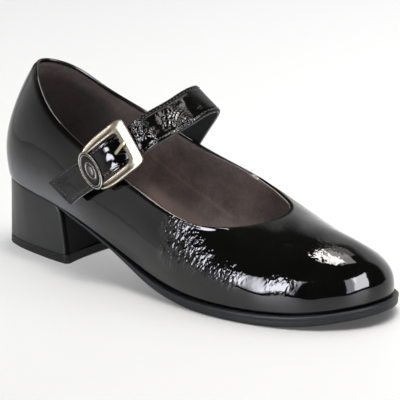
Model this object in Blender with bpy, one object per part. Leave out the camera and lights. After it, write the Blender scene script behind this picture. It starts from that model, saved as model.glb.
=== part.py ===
"""Women's Mary Jane court shoe with a low block heel, right foot, as closed solids.

Every table is in millimetres in the shoe's own frame: x = 0 is near the back of
the heel and x grows to the toe, y grows to the inner (medial) side, so the
buckle is on the -y side, and z = 0 is the ground. place_on_origin() moves the
finished pieces so that the origin is the bottom centre of their box.
"""
import bmesh
import bpy
import numpy as np

MM = 0.001
GAP = 0.35                # clearance between neighbouring pieces
SEAT_AIR = 0.12           # added to it where the seat slopes over the heel
SHARP_ANGLE = 32          # edges steeper than this many degrees show as creases

# Upper: a lasted shell, turned in under the foot and open at the top.
WALL = 2.0                # leather and lining together
FLANGE_WIDTH = 11.0       # lasting margin turned in under the insole
FLANGE_THICKNESS = 1.6
FLANGE_CORNER = 2.2       # the inner face meets the margin this far inside the feather
RIM_ROUND = 0.5
UPPER_AROUND = 88
FINE_AROUND = 720         # finer loop that the heel's plan is cut from
UPPER_LEVELS = (0.0, 0.06, 0.14, 0.24, 0.35, 0.47, 0.59, 0.71, 0.82, 0.91, 0.97)

# Height of the upper's underside along the shoe.
#        x      z
SEAT = [(-8,   42.6),
        (4,    41.6),
        (20,   39.2),
        (36,   35.9),
        (50,   33.0),
        (80,   23.9),
        (110,  13.1),
        (125,   9.2),
        (140,   7.0),
        (170,   5.8),
        (200,   6.2),
        (225,   7.9),
        (252,  12.4)]

# Meridians of the quarters that the strap and the tab lie on, out of QUARTER_AROUND.
QUARTER_AROUND = 240
QUARTER_LEVELS = 40
QUARTER_SPAN = (18, 100)

# Each row is one meridian of the upper, from the feather line up to the topline.
# "heading" is the outward direction in plan (degrees from +x). Belly, shoulder and
# crest are control points given as distance out along the heading from the
# feather point and height above it.
#  name            heading  feather x, y   belly       shoulder    crest        topline x, y, z
UPPER_ROWS = [
    ("heel_back",      180,   -4.5,  1.0,   3.0, 12.5,  1.4, 32,   -7, 51.6,    12,    1.0, 106.5),
    ("heel_lateral",   226,    6,  -21.3,   2.4, 12.5,  0.8, 29,   -8, 47.8,    20,  -13.0, 102.5),
    ("seat_lateral",   266,   38,  -28.0,   4.0, 13,    3.5, 27,    0, 40,      40,  -23.0,  85.6),
    ("breast_lateral", 270,   72,  -30.5,   4.0, 12.5,  3.0, 22,    0, 33,      72.3, -28.0, 68.7),
    ("waist_lateral",  270,  106,  -33.5,   4.0, 12,    3.5, 22,    0, 32.4,   102,  -30.5,  57.0),
    ("ball_lateral",   272,  142,  -40.0,   3.5, 12,    2.0, 22.6, -3, 29.9,   129.3, -34.0, 48.2),
    ("joint_lateral",  280,  178,  -42.0,   2.5, 11,   -2.0, 21.3, -10, 28.4,  153,  -32.0,  43.1),
    ("toe_lateral",    304,  212,  -34.0,   2.0, 11,   -6.0, 23,  -17, 30,     169,  -21.0,  43.0),
    ("corner_lateral", 334,  237,  -16.0,   1.5, 11.6, -8.5, 23.9, -25, 31.4,  178,   -7.0,  44.0),
    ("toe_tip",          3,  246,    6.0,   1.5, 12.3, -8.0, 24,  -29, 31.0,   179.5,  7.0,  45.0),
    ("corner_medial",   35,  238,   24.0,   1.5, 11.6, -8.5, 22.9, -26, 30.4,  174,   19.0,  45.5),
    ("toe_medial",      68,  212,   36.0,   1.5, 12,   -6.0, 23,  -15, 29,     161,   28.0,  47.5),
    ("joint_medial",    84,  178,   39.0,   2.0, 13,   -2.0, 25.3, -6, 33.4,   142,   32.0,  53.0),
    ("ball_medial",     90,  142,   31.0,   3.5, 15,    4.0, 28.6,  2, 38.9,   119,   30.0,  60.5),
    ("waist_medial",    90,  105,   23.0,   5.0, 15,    7.0, 29,    6, 40.4,    96,   27.0,  69.5),
    ("breast_medial",   90,   72,   24.0,   4.0, 14.5,  5.0, 29,    2, 42,      70,   23.0,  81.0),
    ("seat_medial",     92,   38,   26.0,   3.5, 14,    3.5, 31,    0, 46,      42,   20.0,  92.0),
    ("heel_medial",    134,    7,   20.5,   4.2, 12.5,  3.8, 32,   -3, 50,      21,   14.0, 102.5),
]

# Outsole: thickness along the shoe and how far its edge stands out past the upper.
#                  x     thickness
SOLE_THICKNESS = [(-8,   1.5),
                  (38,   1.5),
                  (60,   1.9),
                  (92,   2.2),
                  (105,  3.2),
                  (115,  4.3),
                  (125,  5.0),
                  (140,  5.4),
                  (155,  5.9),
                  (205,  6.2),
                  (225,  6.0),
                  (255,  5.6)]
#               x     margin
SOLE_MARGIN = [(-8,   0.2),
               (55,   0.3),
               (90,   1.0),
               (140,  2.2),
               (180,  2.6),
               (260,  2.6)]
# Side profile of the outsole edge, from the bottom up: a tread band, a groove, a lip.
#             inset  height (share of the thickness)
SOLE_SIDE = [(1.0,   0.00),
             (0.3,   0.12),
             (0.3,   0.56),
             (0.9,   0.61),
             (0.0,   0.67),
             (0.0,   0.92),
             (0.5,   1.00)]
SOLE_FULL_THICKNESS = 5.5      # the steps shrink where the sole is thinner than this

# Insole board with a raised margin that lies on the turned-in upper.
INSOLE_THICKNESS = 2.2
INSOLE_FOOT_INSET = 2.9
INSOLE_TOP_INSET = 2.3
INSOLE_FOOT_LIFT = 0.1    # the foot between the turned-in edges clears the sole by GAP and this
INSOLE_FOOT_GAP = 0.4     # and the edges themselves by this

# Heel block and top piece: D-shaped plan, cut off by a slightly hollow front face.
HEEL_HEIGHT = 36.0
TOP_PIECE_HEIGHT = 5.0
TOP_PIECE_ROUND = 0.4     # the tread's edge is drawn in by this much
HEEL_BOW = 2.5            # hollow of the front face
HEEL_SIDE_POINTS = 16
HEEL_FRONT_POINTS = 5
# How far the wall stands inside the feather line, at the seat and at the ground.
#              x     seat   ground
HEEL_INSET = [(-6,  -0.2,  -2.2),
              (0,    0.6,  -1.0),
              (4,    0.8,   1.4),
              (10,   0.8,   3.2),
              (15,   0.6,   3.8),
              (20,   0.3,   3.7),
              (25,   0.3,   3.4),
              (30,   0.3,   2.8),
              (36,   0.3,   1.9),
              (43,   0.3,   1.3),
              (60,   0.3,   1.3)]
#              height share  front x
HEEL_FRONT = [(0.00,         54.7),
              (0.35,         53.5),
              (0.75,         52.0),
              (1.00,         49.6)]
HEEL_BLOCK_LEVELS = (0.0, 0.35, 0.75, 1.0)
TOP_PIECE_LEVELS = (0.0, 0.15, 1.0)

# Buckle frame of reference: t runs up the strap, w across it to the toe side, n outward.
BUCKLE_CENTRE = (92.4, -31.2, 70.0)
BUCKLE_OUT = (0.14, -0.945, 0.30)
BUCKLE_ALONG = (0.702, 0.308, 0.642)
FRAME_BAR_END = 15.8      # outer edge of the outer bar
FRAME_HALF_WIDTH = 14.7
FRAME_BULGE_T = 2.0       # the frame is widest here and draws in to its open end
FRAME_OPEN_END = -18.8
FRAME_CORNERS = (3.2, 8.0)     # roundness of the open end and of the outer bar's corners
FRAME_WINDOW_END = 8.6    # inner edge of the outer bar
FRAME_WINDOW_MIDDLE = -6.0
FRAME_WINDOW_HALF = 9.5
FRAME_WINDOW_CORNERS = (10.0, 10.0)
FRAME_OPEN_ANGLE = 141.0  # the two side bars end here, under the oval plate
FRAME_STEPS = 45
FRAME_DEPTH = 1.1
FRAME_LUG_DEPTH = 3.8     # side bars are deep where the pin is held
FRAME_LUG_SPREAD = 2.6
FRAME_BAR_START = 6.0     # from here to FRAME_BAR_START + FRAME_BAR_BLEND the bar rises
FRAME_BAR_BLEND = 5.0
#                 share  height  extra on the outer bar
FRAME_SECTION = [(1.00,  0.15,   0.00),
                 (0.72,  1.00,   0.45),
                 (0.30,  1.00,   0.45),
                 (0.00,  0.10,   0.00)]
RAY_LIMIT = 60.0          # longest reach looked for, and how often it is halved
RAY_HALVINGS = 40
PIN_T = -9.0
PIN_N = -2.75
PIN_RADIUS = 0.7
PIN_HALF_LENGTH = 9.1
PIN_FACET = 24            # degrees
PLATE_FACET = 10
PLATE_T = -14.5
PLATE_HALF_LENGTH = 11.7
PLATE_HALF_WIDTH = 5.3
#                 scale  n
PLATE_PROFILE = [(0.96,  1.30),
                 (1.00,  1.60),
                 (1.00,  2.05),
                 (0.93,  2.45),
                 (0.84,  2.45),
                 (0.76,  2.05),
                 (0.40,  2.20)]

# Prong: eye round the pin, then a shank that rises through the strap to the outer bar.
PRONG_WIDTH = 2.2
PRONG_EYE_RADIUS = 1.3
PRONG_EYE_HALF_THICKNESS = 0.35
PRONG_EYE_TURN = (330, 100)    # degrees, from under the pin round to the shank
PRONG_EYE_STEPS = 12
#              t      n     half thickness
PRONG_PATH = [(-7.0, -1.50, 0.35),
              (-4.0, -1.72, 0.45),
              (0.0,  -1.75, 0.50),
              (3.0,  -0.95, 0.55),
              (6.0,   0.30, 0.55),
              (8.6,   1.65, 0.55),
              (10.4,  2.30, 0.50),
              (12.0,  2.42, 0.40)]

# Strap: sewn to the outside of the medial quarter, arched over the instep, through
# the buckle and back under the oval plate to a free tail on the lateral quarter.
STRAP_THICKNESS = 1.8
STRAP_COLUMNS = (-1.0, -0.6, -0.18, 0.18, 0.6, 1.0)    # shares of the half width
STRAP_SEWN_ROWS = 9       # rows held against the medial quarter
STRAP_EASE_ROWS = 5       # the last of them ease off it
STRAP_CLEARANCE = 0.45    # the strap stands this far off a quarter
STRAP_SLOT = ("slot_top", "slot_end")    # the prong's slot runs between these rows
TAIL_SKEW = 7.0           # the tail's toe-side corner is this much shorter
TAIL_START_T = -18.0      # the skew grows from here over TAIL_SPAN
TAIL_SPAN = 20.0
TAIL_TOP_N = 3.0          # only rows lower than this over the buckle belong to the tail
#  name           x      y      z      direction across      half width  steps to next
STRAP_ARCH = [
    ("sewn_end",   85.4,  31.0,  57.1,   0.82,  0.00, -0.57,   9.8,   3),
    ("sewn_mid",   90.5,  30.8,  64.5,   0.82,  0.00, -0.57,   9.8,   3),
    ("topline",    95.7,  30.2,  71.9,   0.82,  0.00, -0.57,   9.8,   3),
    ("rise",      102.5,  30.4,  81.7,   0.82,  0.00, -0.57,   9.8,   3),
    ("fold_low",  107.3,  30.4,  88.4,   0.82,  0.00, -0.57,   9.8,   3),
    ("fold",      109.4,  28.6,  91.6,   0.82,  0.00, -0.57,   9.9,   3),
    ("fold_top",  109.4,  24.5,  92.2,   0.82, -0.02, -0.57,   9.9,   5),
    ("crown",     107.2,   8.0,  88.0,   0.79, -0.05, -0.61,   9.7,   5),
    ("ramp",      104.0,  -8.0,  83.5,   0.74, -0.09, -0.66,   9.2,   5),
]
#  name           t      w     n      half width  steps to next
STRAP_BUCKLE = [
    ("under_bar",  14.0, -0.9, -5.4,   8.8,   3),
    ("dip",         9.0, -0.2, -3.10,  8.8,   2),
    ("slot_top",    5.6,  0.0, -1.60,  8.8,   3),
    ("slot_end",   -0.6,  0.0,  0.00,  8.8,   3),
    ("pin",        -9.0,  0.0,  0.10,  8.8,   3),
    ("plate",     -17.0,  0.0, -0.05,  8.8,   4),
    ("tail",      -28.0,  0.0, -1.5,   8.9,   5),
    ("tail_end",  -42.0,  0.0, -4.3,   8.9,   0),
]

# Leather tab folded round the pin and sewn to the lateral quarter under the tail.
TAB_HALF_WIDTH = 6.5
TAB_THICKNESS = 0.6
TAB_PIN_GAP = 0.28
TAB_NOTCH_HALF = 1.8
TAB_END_T = -23.0
TAB_LOOP_LEAD = 3.0       # the flat layers stop this far short of the pin
TAB_FLAT_ROWS = 4
TAB_LOOP_STEPS = 8
TAB_LOOP_TURN = (-110, 120)    # degrees round the pin
TAB_LAYER_GAP = 0.15
TAB_CLEARANCE = 0.85      # the lower layer stands this far off the quarter

# Looks:            colour                   metallic  roughness
BLACK_PATENT = ((0.012, 0.012, 0.013),     0.0,      0.12)
SOLE_RUBBER = ((0.020, 0.021, 0.022),      0.0,      0.45)
HEEL_LACQUER = ((0.016, 0.017, 0.018),     0.0,      0.30)
SUEDE_LINING = ((0.170, 0.135, 0.130),     0.0,      0.90)
CHAMPAGNE_METAL = ((0.780, 0.730, 0.620),  1.0,      0.22)
ANTIQUE_METAL = ((0.420, 0.410, 0.385),    1.0,      0.30)


def closed_spline(values, knots, at):
    """Periodic cubic spline through the rows of values; knots has one more entry, the period."""
    values = np.asarray(values, float)
    count = len(values)
    step = np.diff(knots)
    matrix = np.zeros((count, count))
    right = np.zeros_like(values)
    for i in range(count):
        before, after = (i - 1) % count, (i + 1) % count
        matrix[i, before] += step[i - 1]
        matrix[i, i] += 2 * (step[i - 1] + step[i])
        matrix[i, after] += step[i]
        right[i] = 6 * ((values[after] - values[i]) / step[i]
                        - (values[i] - values[before]) / step[i - 1])
    bend = np.linalg.solve(matrix, right)
    at = np.mod(np.asarray(at, float), knots[-1])
    k = np.clip(np.searchsorted(knots, at, side="right") - 1, 0, count - 1)
    nxt = (k + 1) % count
    width = step[k][:, None]
    a = (knots[k + 1] - at)[:, None] / width
    b = 1 - a
    curve = (a ** 3 - a) * bend[k] + (b ** 3 - b) * bend[nxt]
    return a * values[k] + b * values[nxt] + curve * width ** 2 / 6


def open_spline(knots, values, at):
    """Natural cubic spline through the rows of values at the given knots."""
    knots = np.asarray(knots, float)
    values = np.asarray(values, float)
    count = len(knots)
    step = np.diff(knots)
    matrix = np.eye(count)
    right = np.zeros_like(values)
    for i in range(1, count - 1):
        matrix[i, i - 1] = step[i - 1]
        matrix[i, i] = 2 * (step[i - 1] + step[i])
        matrix[i, i + 1] = step[i]
        right[i] = 6 * ((values[i + 1] - values[i]) / step[i]
                        - (values[i] - values[i - 1]) / step[i - 1])
    bend = np.linalg.solve(matrix, right)
    at = np.clip(np.asarray(at, float), knots[0], knots[-1])
    k = np.clip(np.searchsorted(knots, at, side="right") - 1, 0, count - 2)
    shape = (-1,) + (1,) * (values.ndim - 1)
    width = step[k].reshape(shape)
    a = ((knots[k + 1] - at) / step[k]).reshape(shape)
    b = 1 - a
    curve = (a ** 3 - a) * bend[k] + (b ** 3 - b) * bend[k + 1]
    return a * values[k] + b * values[k + 1] + curve * width ** 2 / 6


def clamped_weights(share):
    """Weights of five control points of a clamped cubic B-spline with one inner knot."""
    knots = np.array([0, 0, 0, 0, 0.5, 1, 1, 1, 1], float)
    share = np.clip(np.asarray(share, float), 0, 1 - 1e-12)
    weights = [((share >= a) & (share < b)) * 1.0 for a, b in zip(knots, knots[1:])]
    for degree in (1, 2, 3):
        raised = []
        for i in range(len(weights) - 1):
            left = knots[i + degree] - knots[i]
            right = knots[i + degree + 1] - knots[i + 1]
            term = np.zeros_like(share)
            if left > 0:
                term = term + (share - knots[i]) / left * weights[i]
            if right > 0:
                term = term + (knots[i + degree + 1] - share) / right * weights[i + 1]
            raised.append(term)
        weights = raised
    return np.array(weights)


def unit(vector):
    vector = np.asarray(vector, float)
    return vector / np.linalg.norm(vector, axis=-1, keepdims=True)


def seat(x):
    """Height of the upper's underside."""
    table = np.array(SEAT, float)
    return open_spline(table[:, 0], table[:, 1], np.ravel(x)).reshape(np.shape(x))


def along(table, x):
    """Straight interpolation in a two-column table."""
    knots, values = zip(*table)
    return np.interp(x, knots, values)


def sole_top(x):
    return seat(x) - GAP - SEAT_AIR * np.clip((36 - np.asarray(x, float)) / 16, 0, 1)


def sole_floor(x):
    return np.maximum(seat(x) - along(SOLE_THICKNESS, x), 0.0)


def upper_surface(around, shares):
    """Outer face of the upper as a grid: around the shoe by up from feather to topline."""
    controls = []
    for row in UPPER_ROWS:
        numbers = np.array(row[1:], float)
        angle = np.radians(numbers[0])
        outward = np.array([np.cos(angle), np.sin(angle)])
        foot = numbers[1:3]
        base = float(seat(foot[0]))
        points = [(foot[0], foot[1], base)]
        for out, up in numbers[3:9].reshape(3, 2):
            spot = foot + outward * out
            points.append((spot[0], spot[1], base + up))
        points.append(tuple(numbers[9:12]))
        controls.append(points)
    controls = np.array(controls)
    feather = controls[:, 0]
    chords = np.linalg.norm(np.roll(feather, -1, axis=0) - feather, axis=1)
    knots = np.concatenate([[0.0], np.cumsum(chords)])
    turns = np.arange(around) * knots[-1] / around
    loops = closed_spline(controls.reshape(len(controls), -1), knots, turns)
    return np.einsum("kv,ukc->uvc", clamped_weights(shares), loops.reshape(around, 5, 3))


def outward_normals(grid):
    round_step = np.roll(grid, -1, axis=0) - np.roll(grid, 1, axis=0)
    up_step = np.gradient(grid, axis=1)
    return unit(np.cross(round_step, up_step))


def plan_normals(loop):
    """Outward directions in plan of a closed loop that runs anticlockwise seen from above."""
    step = np.roll(loop, -1, axis=0) - np.roll(loop, 1, axis=0)
    return unit(np.column_stack([step[:, 1], -step[:, 0]]))


def inset_loop(loop, inset):
    """The loop moved inwards in plan; inset is one distance or one per point."""
    plan = loop[:, :2] - plan_normals(loop) * np.reshape(inset, (-1, 1))
    return plan


def raised(plan, height):
    return np.column_stack([plan, np.broadcast_to(height, len(plan))])


def new_piece(name, points, faces, look):
    """Makes an object from points in mm and faces, welded to nothing else."""
    colour, metallic, roughness = look
    mesh = bpy.data.meshes.new(name)
    shell = bmesh.new()
    used = sorted({index for face in faces for index in face})
    verts = {index: shell.verts.new([float(c) * MM for c in points[index]]) for index in used}
    for face in faces:
        shell.faces.new([verts[index] for index in face])
    bmesh.ops.recalc_face_normals(shell, faces=shell.faces)
    shell.to_mesh(mesh)
    shell.free()
    mesh.shade_smooth()
    mesh.set_sharp_from_angle(angle=np.radians(SHARP_ANGLE))
    material = bpy.data.materials.new(name + "_material")
    material.use_nodes = True
    shader = material.node_tree.nodes["Principled BSDF"]
    shader.inputs["Base Color"].default_value = (*colour, 1.0)
    shader.inputs["Metallic"].default_value = metallic
    shader.inputs["Roughness"].default_value = roughness
    mesh.materials.append(material)
    piece = bpy.data.objects.new(name, mesh)
    bpy.context.collection.objects.link(piece)
    return piece


def sheet_piece(name, outer, inner, look, wrap=False, holes=()):
    """Solid between two grids of points, with a wall round every free edge."""
    rows, columns = outer.shape[:2]
    points = np.concatenate([outer.reshape(-1, 3), inner.reshape(-1, 3)])
    last = rows if wrap else rows - 1
    cells = {(i, j) for i in range(last) for j in range(columns - 1)} - set(holes)

    def index(spot, side):
        return (spot[0] % rows) * columns + spot[1] + side * rows * columns

    faces = []
    for i, j in sorted(cells):
        ring = [(i, j), (i + 1, j), (i + 1, j + 1), (i, j + 1)]
        faces.append([index(spot, 0) for spot in ring])
        faces.append([index(spot, 1) for spot in reversed(ring)])
        beside = [(i, j - 1), (i + 1, j), (i, j + 1), (i - 1, j)]
        for k, (row, column) in enumerate(beside):
            if (row % rows if wrap else row, column) not in cells:
                first, second = ring[k], ring[(k + 1) % 4]
                faces.append([index(second, 0), index(first, 0),
                              index(first, 1), index(second, 1)])
    return new_piece(name, points, faces, look)


def cap_faces(points, ring_start, count, level, splits, front=0):
    """Fills a ring with cross rows from its point 0 at the back to its front.

    The front is the point opposite, or a side with this many points between its corners.
    """
    half = (count - front) // 2
    lines = [[ring_start]]
    for j in range(1, half):
        left, right = points[ring_start + j], points[ring_start + count - j]
        line = [ring_start + j]
        for share in np.arange(1, splits) / splits:
            spot = left + (right - left) * share
            points.append(np.array([spot[0], spot[1], float(level(spot[0]))]))
            line.append(len(points) - 1)
        line.append(ring_start + count - j)
        lines.append(line)
    last = ring_start + half
    lines.append(list(range(last, last + front + 2)) if front else [last])
    faces = []
    for near, far in zip(lines, lines[1:]):
        if len(near) == 1:
            faces += [[near[0], far[k + 1], far[k]] for k in range(len(far) - 1)]
        elif len(far) == 1:
            faces += [[near[k], near[k + 1], far[0]] for k in range(len(near) - 1)]
        else:
            faces += [[near[k], near[k + 1], far[k + 1], far[k]] for k in range(len(near) - 1)]
    return faces


def stacked_piece(name, rings, look, floor, ceiling, splits=4, front=0):
    """Solid from rings stacked from the bottom up, closed by a floor and a ceiling."""
    count = len(rings[0])
    points = [np.array(spot, float) for ring in rings for spot in ring]
    faces = []
    for level in range(len(rings) - 1):
        low, high = level * count, (level + 1) * count
        for k in range(count):
            nxt = (k + 1) % count
            faces.append([low + k, low + nxt, high + nxt, high + k])
    top = (len(rings) - 1) * count
    faces += cap_faces(points, 0, count, floor, splits, front)
    faces += [face[::-1] for face in cap_faces(points, top, count, ceiling, splits, front)]
    return new_piece(name, points, faces, look)


def build_upper():
    grid = upper_surface(UPPER_AROUND, UPPER_LEVELS + (1.0,))
    normals = outward_normals(grid)
    feather = grid[:, 0]
    outer = [raised(inset_loop(feather, FLANGE_WIDTH), 0.0),
             raised(inset_loop(feather, FLANGE_WIDTH / 2), 0.0)]
    inner = [raised(inset_loop(feather, FLANGE_WIDTH), 0.0),
             raised(inset_loop(feather, FLANGE_WIDTH / 2), 0.0)]
    for under, over in zip(outer, inner):
        under[:, 2] = seat(under[:, 0])
        over[:, 2] = seat(over[:, 0]) + FLANGE_THICKNESS
    corner = raised(inset_loop(feather, FLANGE_CORNER), 0.0)
    corner[:, 2] = seat(corner[:, 0]) + FLANGE_THICKNESS
    outer.append(feather)
    inner.append(corner)
    for level in range(1, len(UPPER_LEVELS)):
        outer.append(grid[:, level])
        inner.append(grid[:, level] - normals[:, level] * WALL)
    outer.append(grid[:, -1] - normals[:, -1] * RIM_ROUND)
    inner.append(grid[:, -1] - normals[:, -1] * (WALL - RIM_ROUND))
    outer = np.stack(outer, axis=1)
    inner = np.stack(inner, axis=1)
    return sheet_piece("upper", outer, inner, BLACK_PATENT, wrap=True)


def build_outsole(feather):
    edge = feather[:, :2] + plan_normals(feather) * along(SOLE_MARGIN, feather[:, 0])[:, None]
    edge = raised(edge, 0.0)
    thickness = sole_top(edge[:, 0]) - sole_floor(edge[:, 0])
    rings = []
    for inset, share in SOLE_SIDE:
        plan = inset_loop(edge, inset * np.minimum(thickness / SOLE_FULL_THICKNESS, 1.0))
        low, high = sole_floor(plan[:, 0]), sole_top(plan[:, 0])
        rings.append(raised(plan, low + (high - low) * share))
    return stacked_piece("outsole", rings, SOLE_RUBBER, sole_floor, sole_top, splits=4)


def build_insole(feather):
    def foot(x):
        return seat(x) + INSOLE_FOOT_LIFT

    def ledge(x):
        return seat(x) + FLANGE_THICKNESS + GAP

    def top(x):
        return ledge(x) + INSOLE_THICKNESS

    core = inset_loop(feather, FLANGE_WIDTH + INSOLE_FOOT_GAP)
    rings = [raised(core, foot(core[:, 0])), raised(core, ledge(core[:, 0]))]
    for inset, level in ((INSOLE_FOOT_INSET, ledge), (INSOLE_TOP_INSET, top)):
        plan = inset_loop(feather, inset)
        rings.append(raised(plan, level(plan[:, 0])))
    return stacked_piece("insole", rings, SUEDE_LINING, foot, top, splits=4)


def resample(line, count):
    """Even points along an open polyline, ends included."""
    length = np.concatenate([[0.0], np.cumsum(np.linalg.norm(np.diff(line, axis=0), axis=1))])
    at = np.linspace(0, length[-1], count)
    return np.column_stack([np.interp(at, length, line[:, k]) for k in range(line.shape[1])])


def heel_plan(fine_feather, rise, inset):
    """D-shaped plan at a share of the heel's height: back, lateral side, front, medial side."""
    knots, at_seat, at_ground = np.array(HEEL_INSET, float).T
    x = fine_feather[:, 0]
    at_ground = open_spline(knots, at_ground, x)
    at_seat = open_spline(knots, at_seat, x)
    plan = inset_loop(fine_feather, at_ground + (at_seat - at_ground) * rise + inset)
    front_x = along(HEEL_FRONT, rise) - inset
    half = len(plan) // 2
    sides = []
    for side in (plan[:half], plan[:half:-1]):
        stop = int(np.argmin(side[:, 0] < front_x))
        y = np.interp(front_x, side[stop - 1:stop + 1, 0], side[stop - 1:stop + 1, 1])
        sides.append(np.vstack([side[:stop], [(front_x, y)]]))
    lateral, medial = sides
    lateral = resample(lateral, HEEL_SIDE_POINTS)
    medial = resample(np.vstack([plan[:1], medial]), HEEL_SIDE_POINTS)[::-1]
    share = np.linspace(0, 1, HEEL_FRONT_POINTS + 2)[1:-1]
    front = lateral[-1] + (medial[0] - lateral[-1]) * share[:, None]
    front[:, 0] -= HEEL_BOW * (1 - (2 * share - 1) ** 2)
    return np.vstack([lateral, front, medial[:-1]])


def build_heel(fine_feather):
    base = TOP_PIECE_HEIGHT + GAP
    rings = []
    for share in HEEL_BLOCK_LEVELS:
        rise = (base + (HEEL_HEIGHT - base) * share) / HEEL_HEIGHT
        plan = heel_plan(fine_feather, rise, 0.0)
        top = sole_floor(plan[:, 0]) - GAP
        rings.append(raised(plan, base + (top - base) * share))
    grid = {"splits": HEEL_FRONT_POINTS + 1, "front": HEEL_FRONT_POINTS}
    stacked_piece("heel_block", rings, HEEL_LACQUER, lambda x: base,
                  lambda x: sole_floor(x) - GAP, **grid)
    rings = []
    for share in TOP_PIECE_LEVELS:
        height = TOP_PIECE_HEIGHT * share
        inset = 0.0 if share else TOP_PIECE_ROUND
        plan = heel_plan(fine_feather, height / HEEL_HEIGHT, inset)
        rings.append(raised(plan, height))
    stacked_piece("heel_top_piece", rings, SOLE_RUBBER, lambda x: 0.0,
                  lambda x: TOP_PIECE_HEIGHT, **grid)


def quarter_y(side, x, z):
    """y of the upper's outer face at (x, z); side is -1 for lateral and +1 for medial."""
    surface = upper_surface(QUARTER_AROUND, np.linspace(0, 1, QUARTER_LEVELS))
    first, last = QUARTER_SPAN
    span = surface[first:last] if side < 0 else surface[::-1][first:last]
    result = []
    for px, pz in zip(np.ravel(x), np.ravel(z)):
        line_x = np.array([np.interp(pz, m[:, 2], m[:, 0]) for m in span])
        line_y = np.array([np.interp(pz, m[:, 2], m[:, 1]) for m in span])
        result.append(np.interp(px, line_x, line_y))
    return np.array(result).reshape(np.shape(x))


def buckle_axes():
    out = unit(BUCKLE_OUT)
    up_strap = unit(BUCKLE_ALONG - out * np.dot(BUCKLE_ALONG, out))
    return up_strap, np.cross(up_strap, out), out


def buckle_point(t, w, n):
    up_strap, across, out = buckle_axes()
    return (np.array(BUCKLE_CENTRE) + np.multiply.outer(t, up_strap)
            + np.multiply.outer(w, across) + np.multiply.outer(n, out))


def strap_rows():
    """Centre line, crosswise directions, half widths and slot rows, sewn end to tail."""
    across = buckle_axes()[1]
    spots = [row[1:4] for row in STRAP_ARCH]
    crosses = [row[4:7] for row in STRAP_ARCH]
    halves = [row[7] for row in STRAP_ARCH]
    for _, t, w, n, half, _ in STRAP_BUCKLE:
        spots.append(buckle_point(t, w, n))
        crosses.append(across)
        halves.append(half)
    spots = np.array(spots, float)
    chords = np.linalg.norm(np.diff(spots, axis=0), axis=1)
    knots = np.concatenate([[0.0], np.cumsum(chords)])
    rows = STRAP_ARCH + STRAP_BUCKLE
    steps = [row[-1] for row in rows]
    at = [knots[k] + (knots[k + 1] - knots[k]) * i / count
          for k, count in enumerate(steps[:-1]) for i in range(count)]
    at = np.array(at + [knots[-1]])
    names = [row[0] for row in rows]
    slot = [sum(steps[:names.index(name)]) for name in STRAP_SLOT]
    centres = open_spline(knots, spots, at)
    crosses = unit(open_spline(knots, np.array(crosses, float), at))
    tangents = unit(np.gradient(centres, axis=0))
    crosses = unit(crosses - tangents * np.sum(tangents * crosses, axis=1, keepdims=True))
    return centres, tangents, crosses, np.interp(at, knots, halves), range(*slot)


def build_strap():
    centres, tangents, crosses, halves, slot_rows = strap_rows()
    outs = np.cross(tangents, crosses)
    up_strap, _, out = buckle_axes()
    columns = np.array(STRAP_COLUMNS)
    t = (centres - BUCKLE_CENTRE) @ up_strap
    n = (centres - BUCKLE_CENTRE) @ out
    tail = np.clip((TAIL_START_T - t) / TAIL_SPAN, 0, 1) * (n < TAIL_TOP_N)
    widths = halves[:, None] * columns
    middle = centres[:, None] + crosses[:, None] * widths[:, :, None]
    skew = TAIL_SKEW * (columns + 1) / 2
    middle = middle - tangents[:, None] * (tail[:, None] * skew[None, :])[:, :, None]
    lift = outs[:, None] * STRAP_THICKNESS / 2
    outer, inner = middle + lift, middle - lift
    rows = np.arange(len(centres))
    for side, near in ((1, rows < STRAP_SEWN_ROWS), (-1, tail > 0)):
        band = inner[near]
        wall = quarter_y(side, band[:, :, 0], band[:, :, 2])
        shift = wall + side * STRAP_CLEARANCE - band[:, :, 1]
        if side > 0:
            hold = np.clip((STRAP_SEWN_ROWS - rows[near]) / STRAP_EASE_ROWS, 0, 1)
            shift = shift * hold[:, None]
        else:
            shift = np.minimum(shift, 0)
        inner[near, :, 1] += shift
        outer[near, :, 1] += shift
    holes = [(i, 2) for i in slot_rows]
    return sheet_piece("strap", outer, inner, BLACK_PATENT, holes=holes)


def ray_reach(angle, centre, half_lengths, half_width, powers):
    """Distance from the origin along each ray to a rounded rectangle in the t-w plane.

    half_lengths and powers give the side towards -t first, then the side towards +t.
    """
    result = []
    for turn in angle:
        low, high = 0.0, RAY_LIMIT
        for _ in range(RAY_HALVINGS):
            middle = (low + high) / 2
            t, w = middle * np.cos(turn) - centre, middle * np.sin(turn)
            side = int(t > 0)
            size = abs(t / half_lengths[side]) ** powers[side] + abs(w / half_width) ** powers[side]
            low, high = (middle, high) if size < 1 else (low, middle)
        result.append(low)
    return np.array(result)


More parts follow.
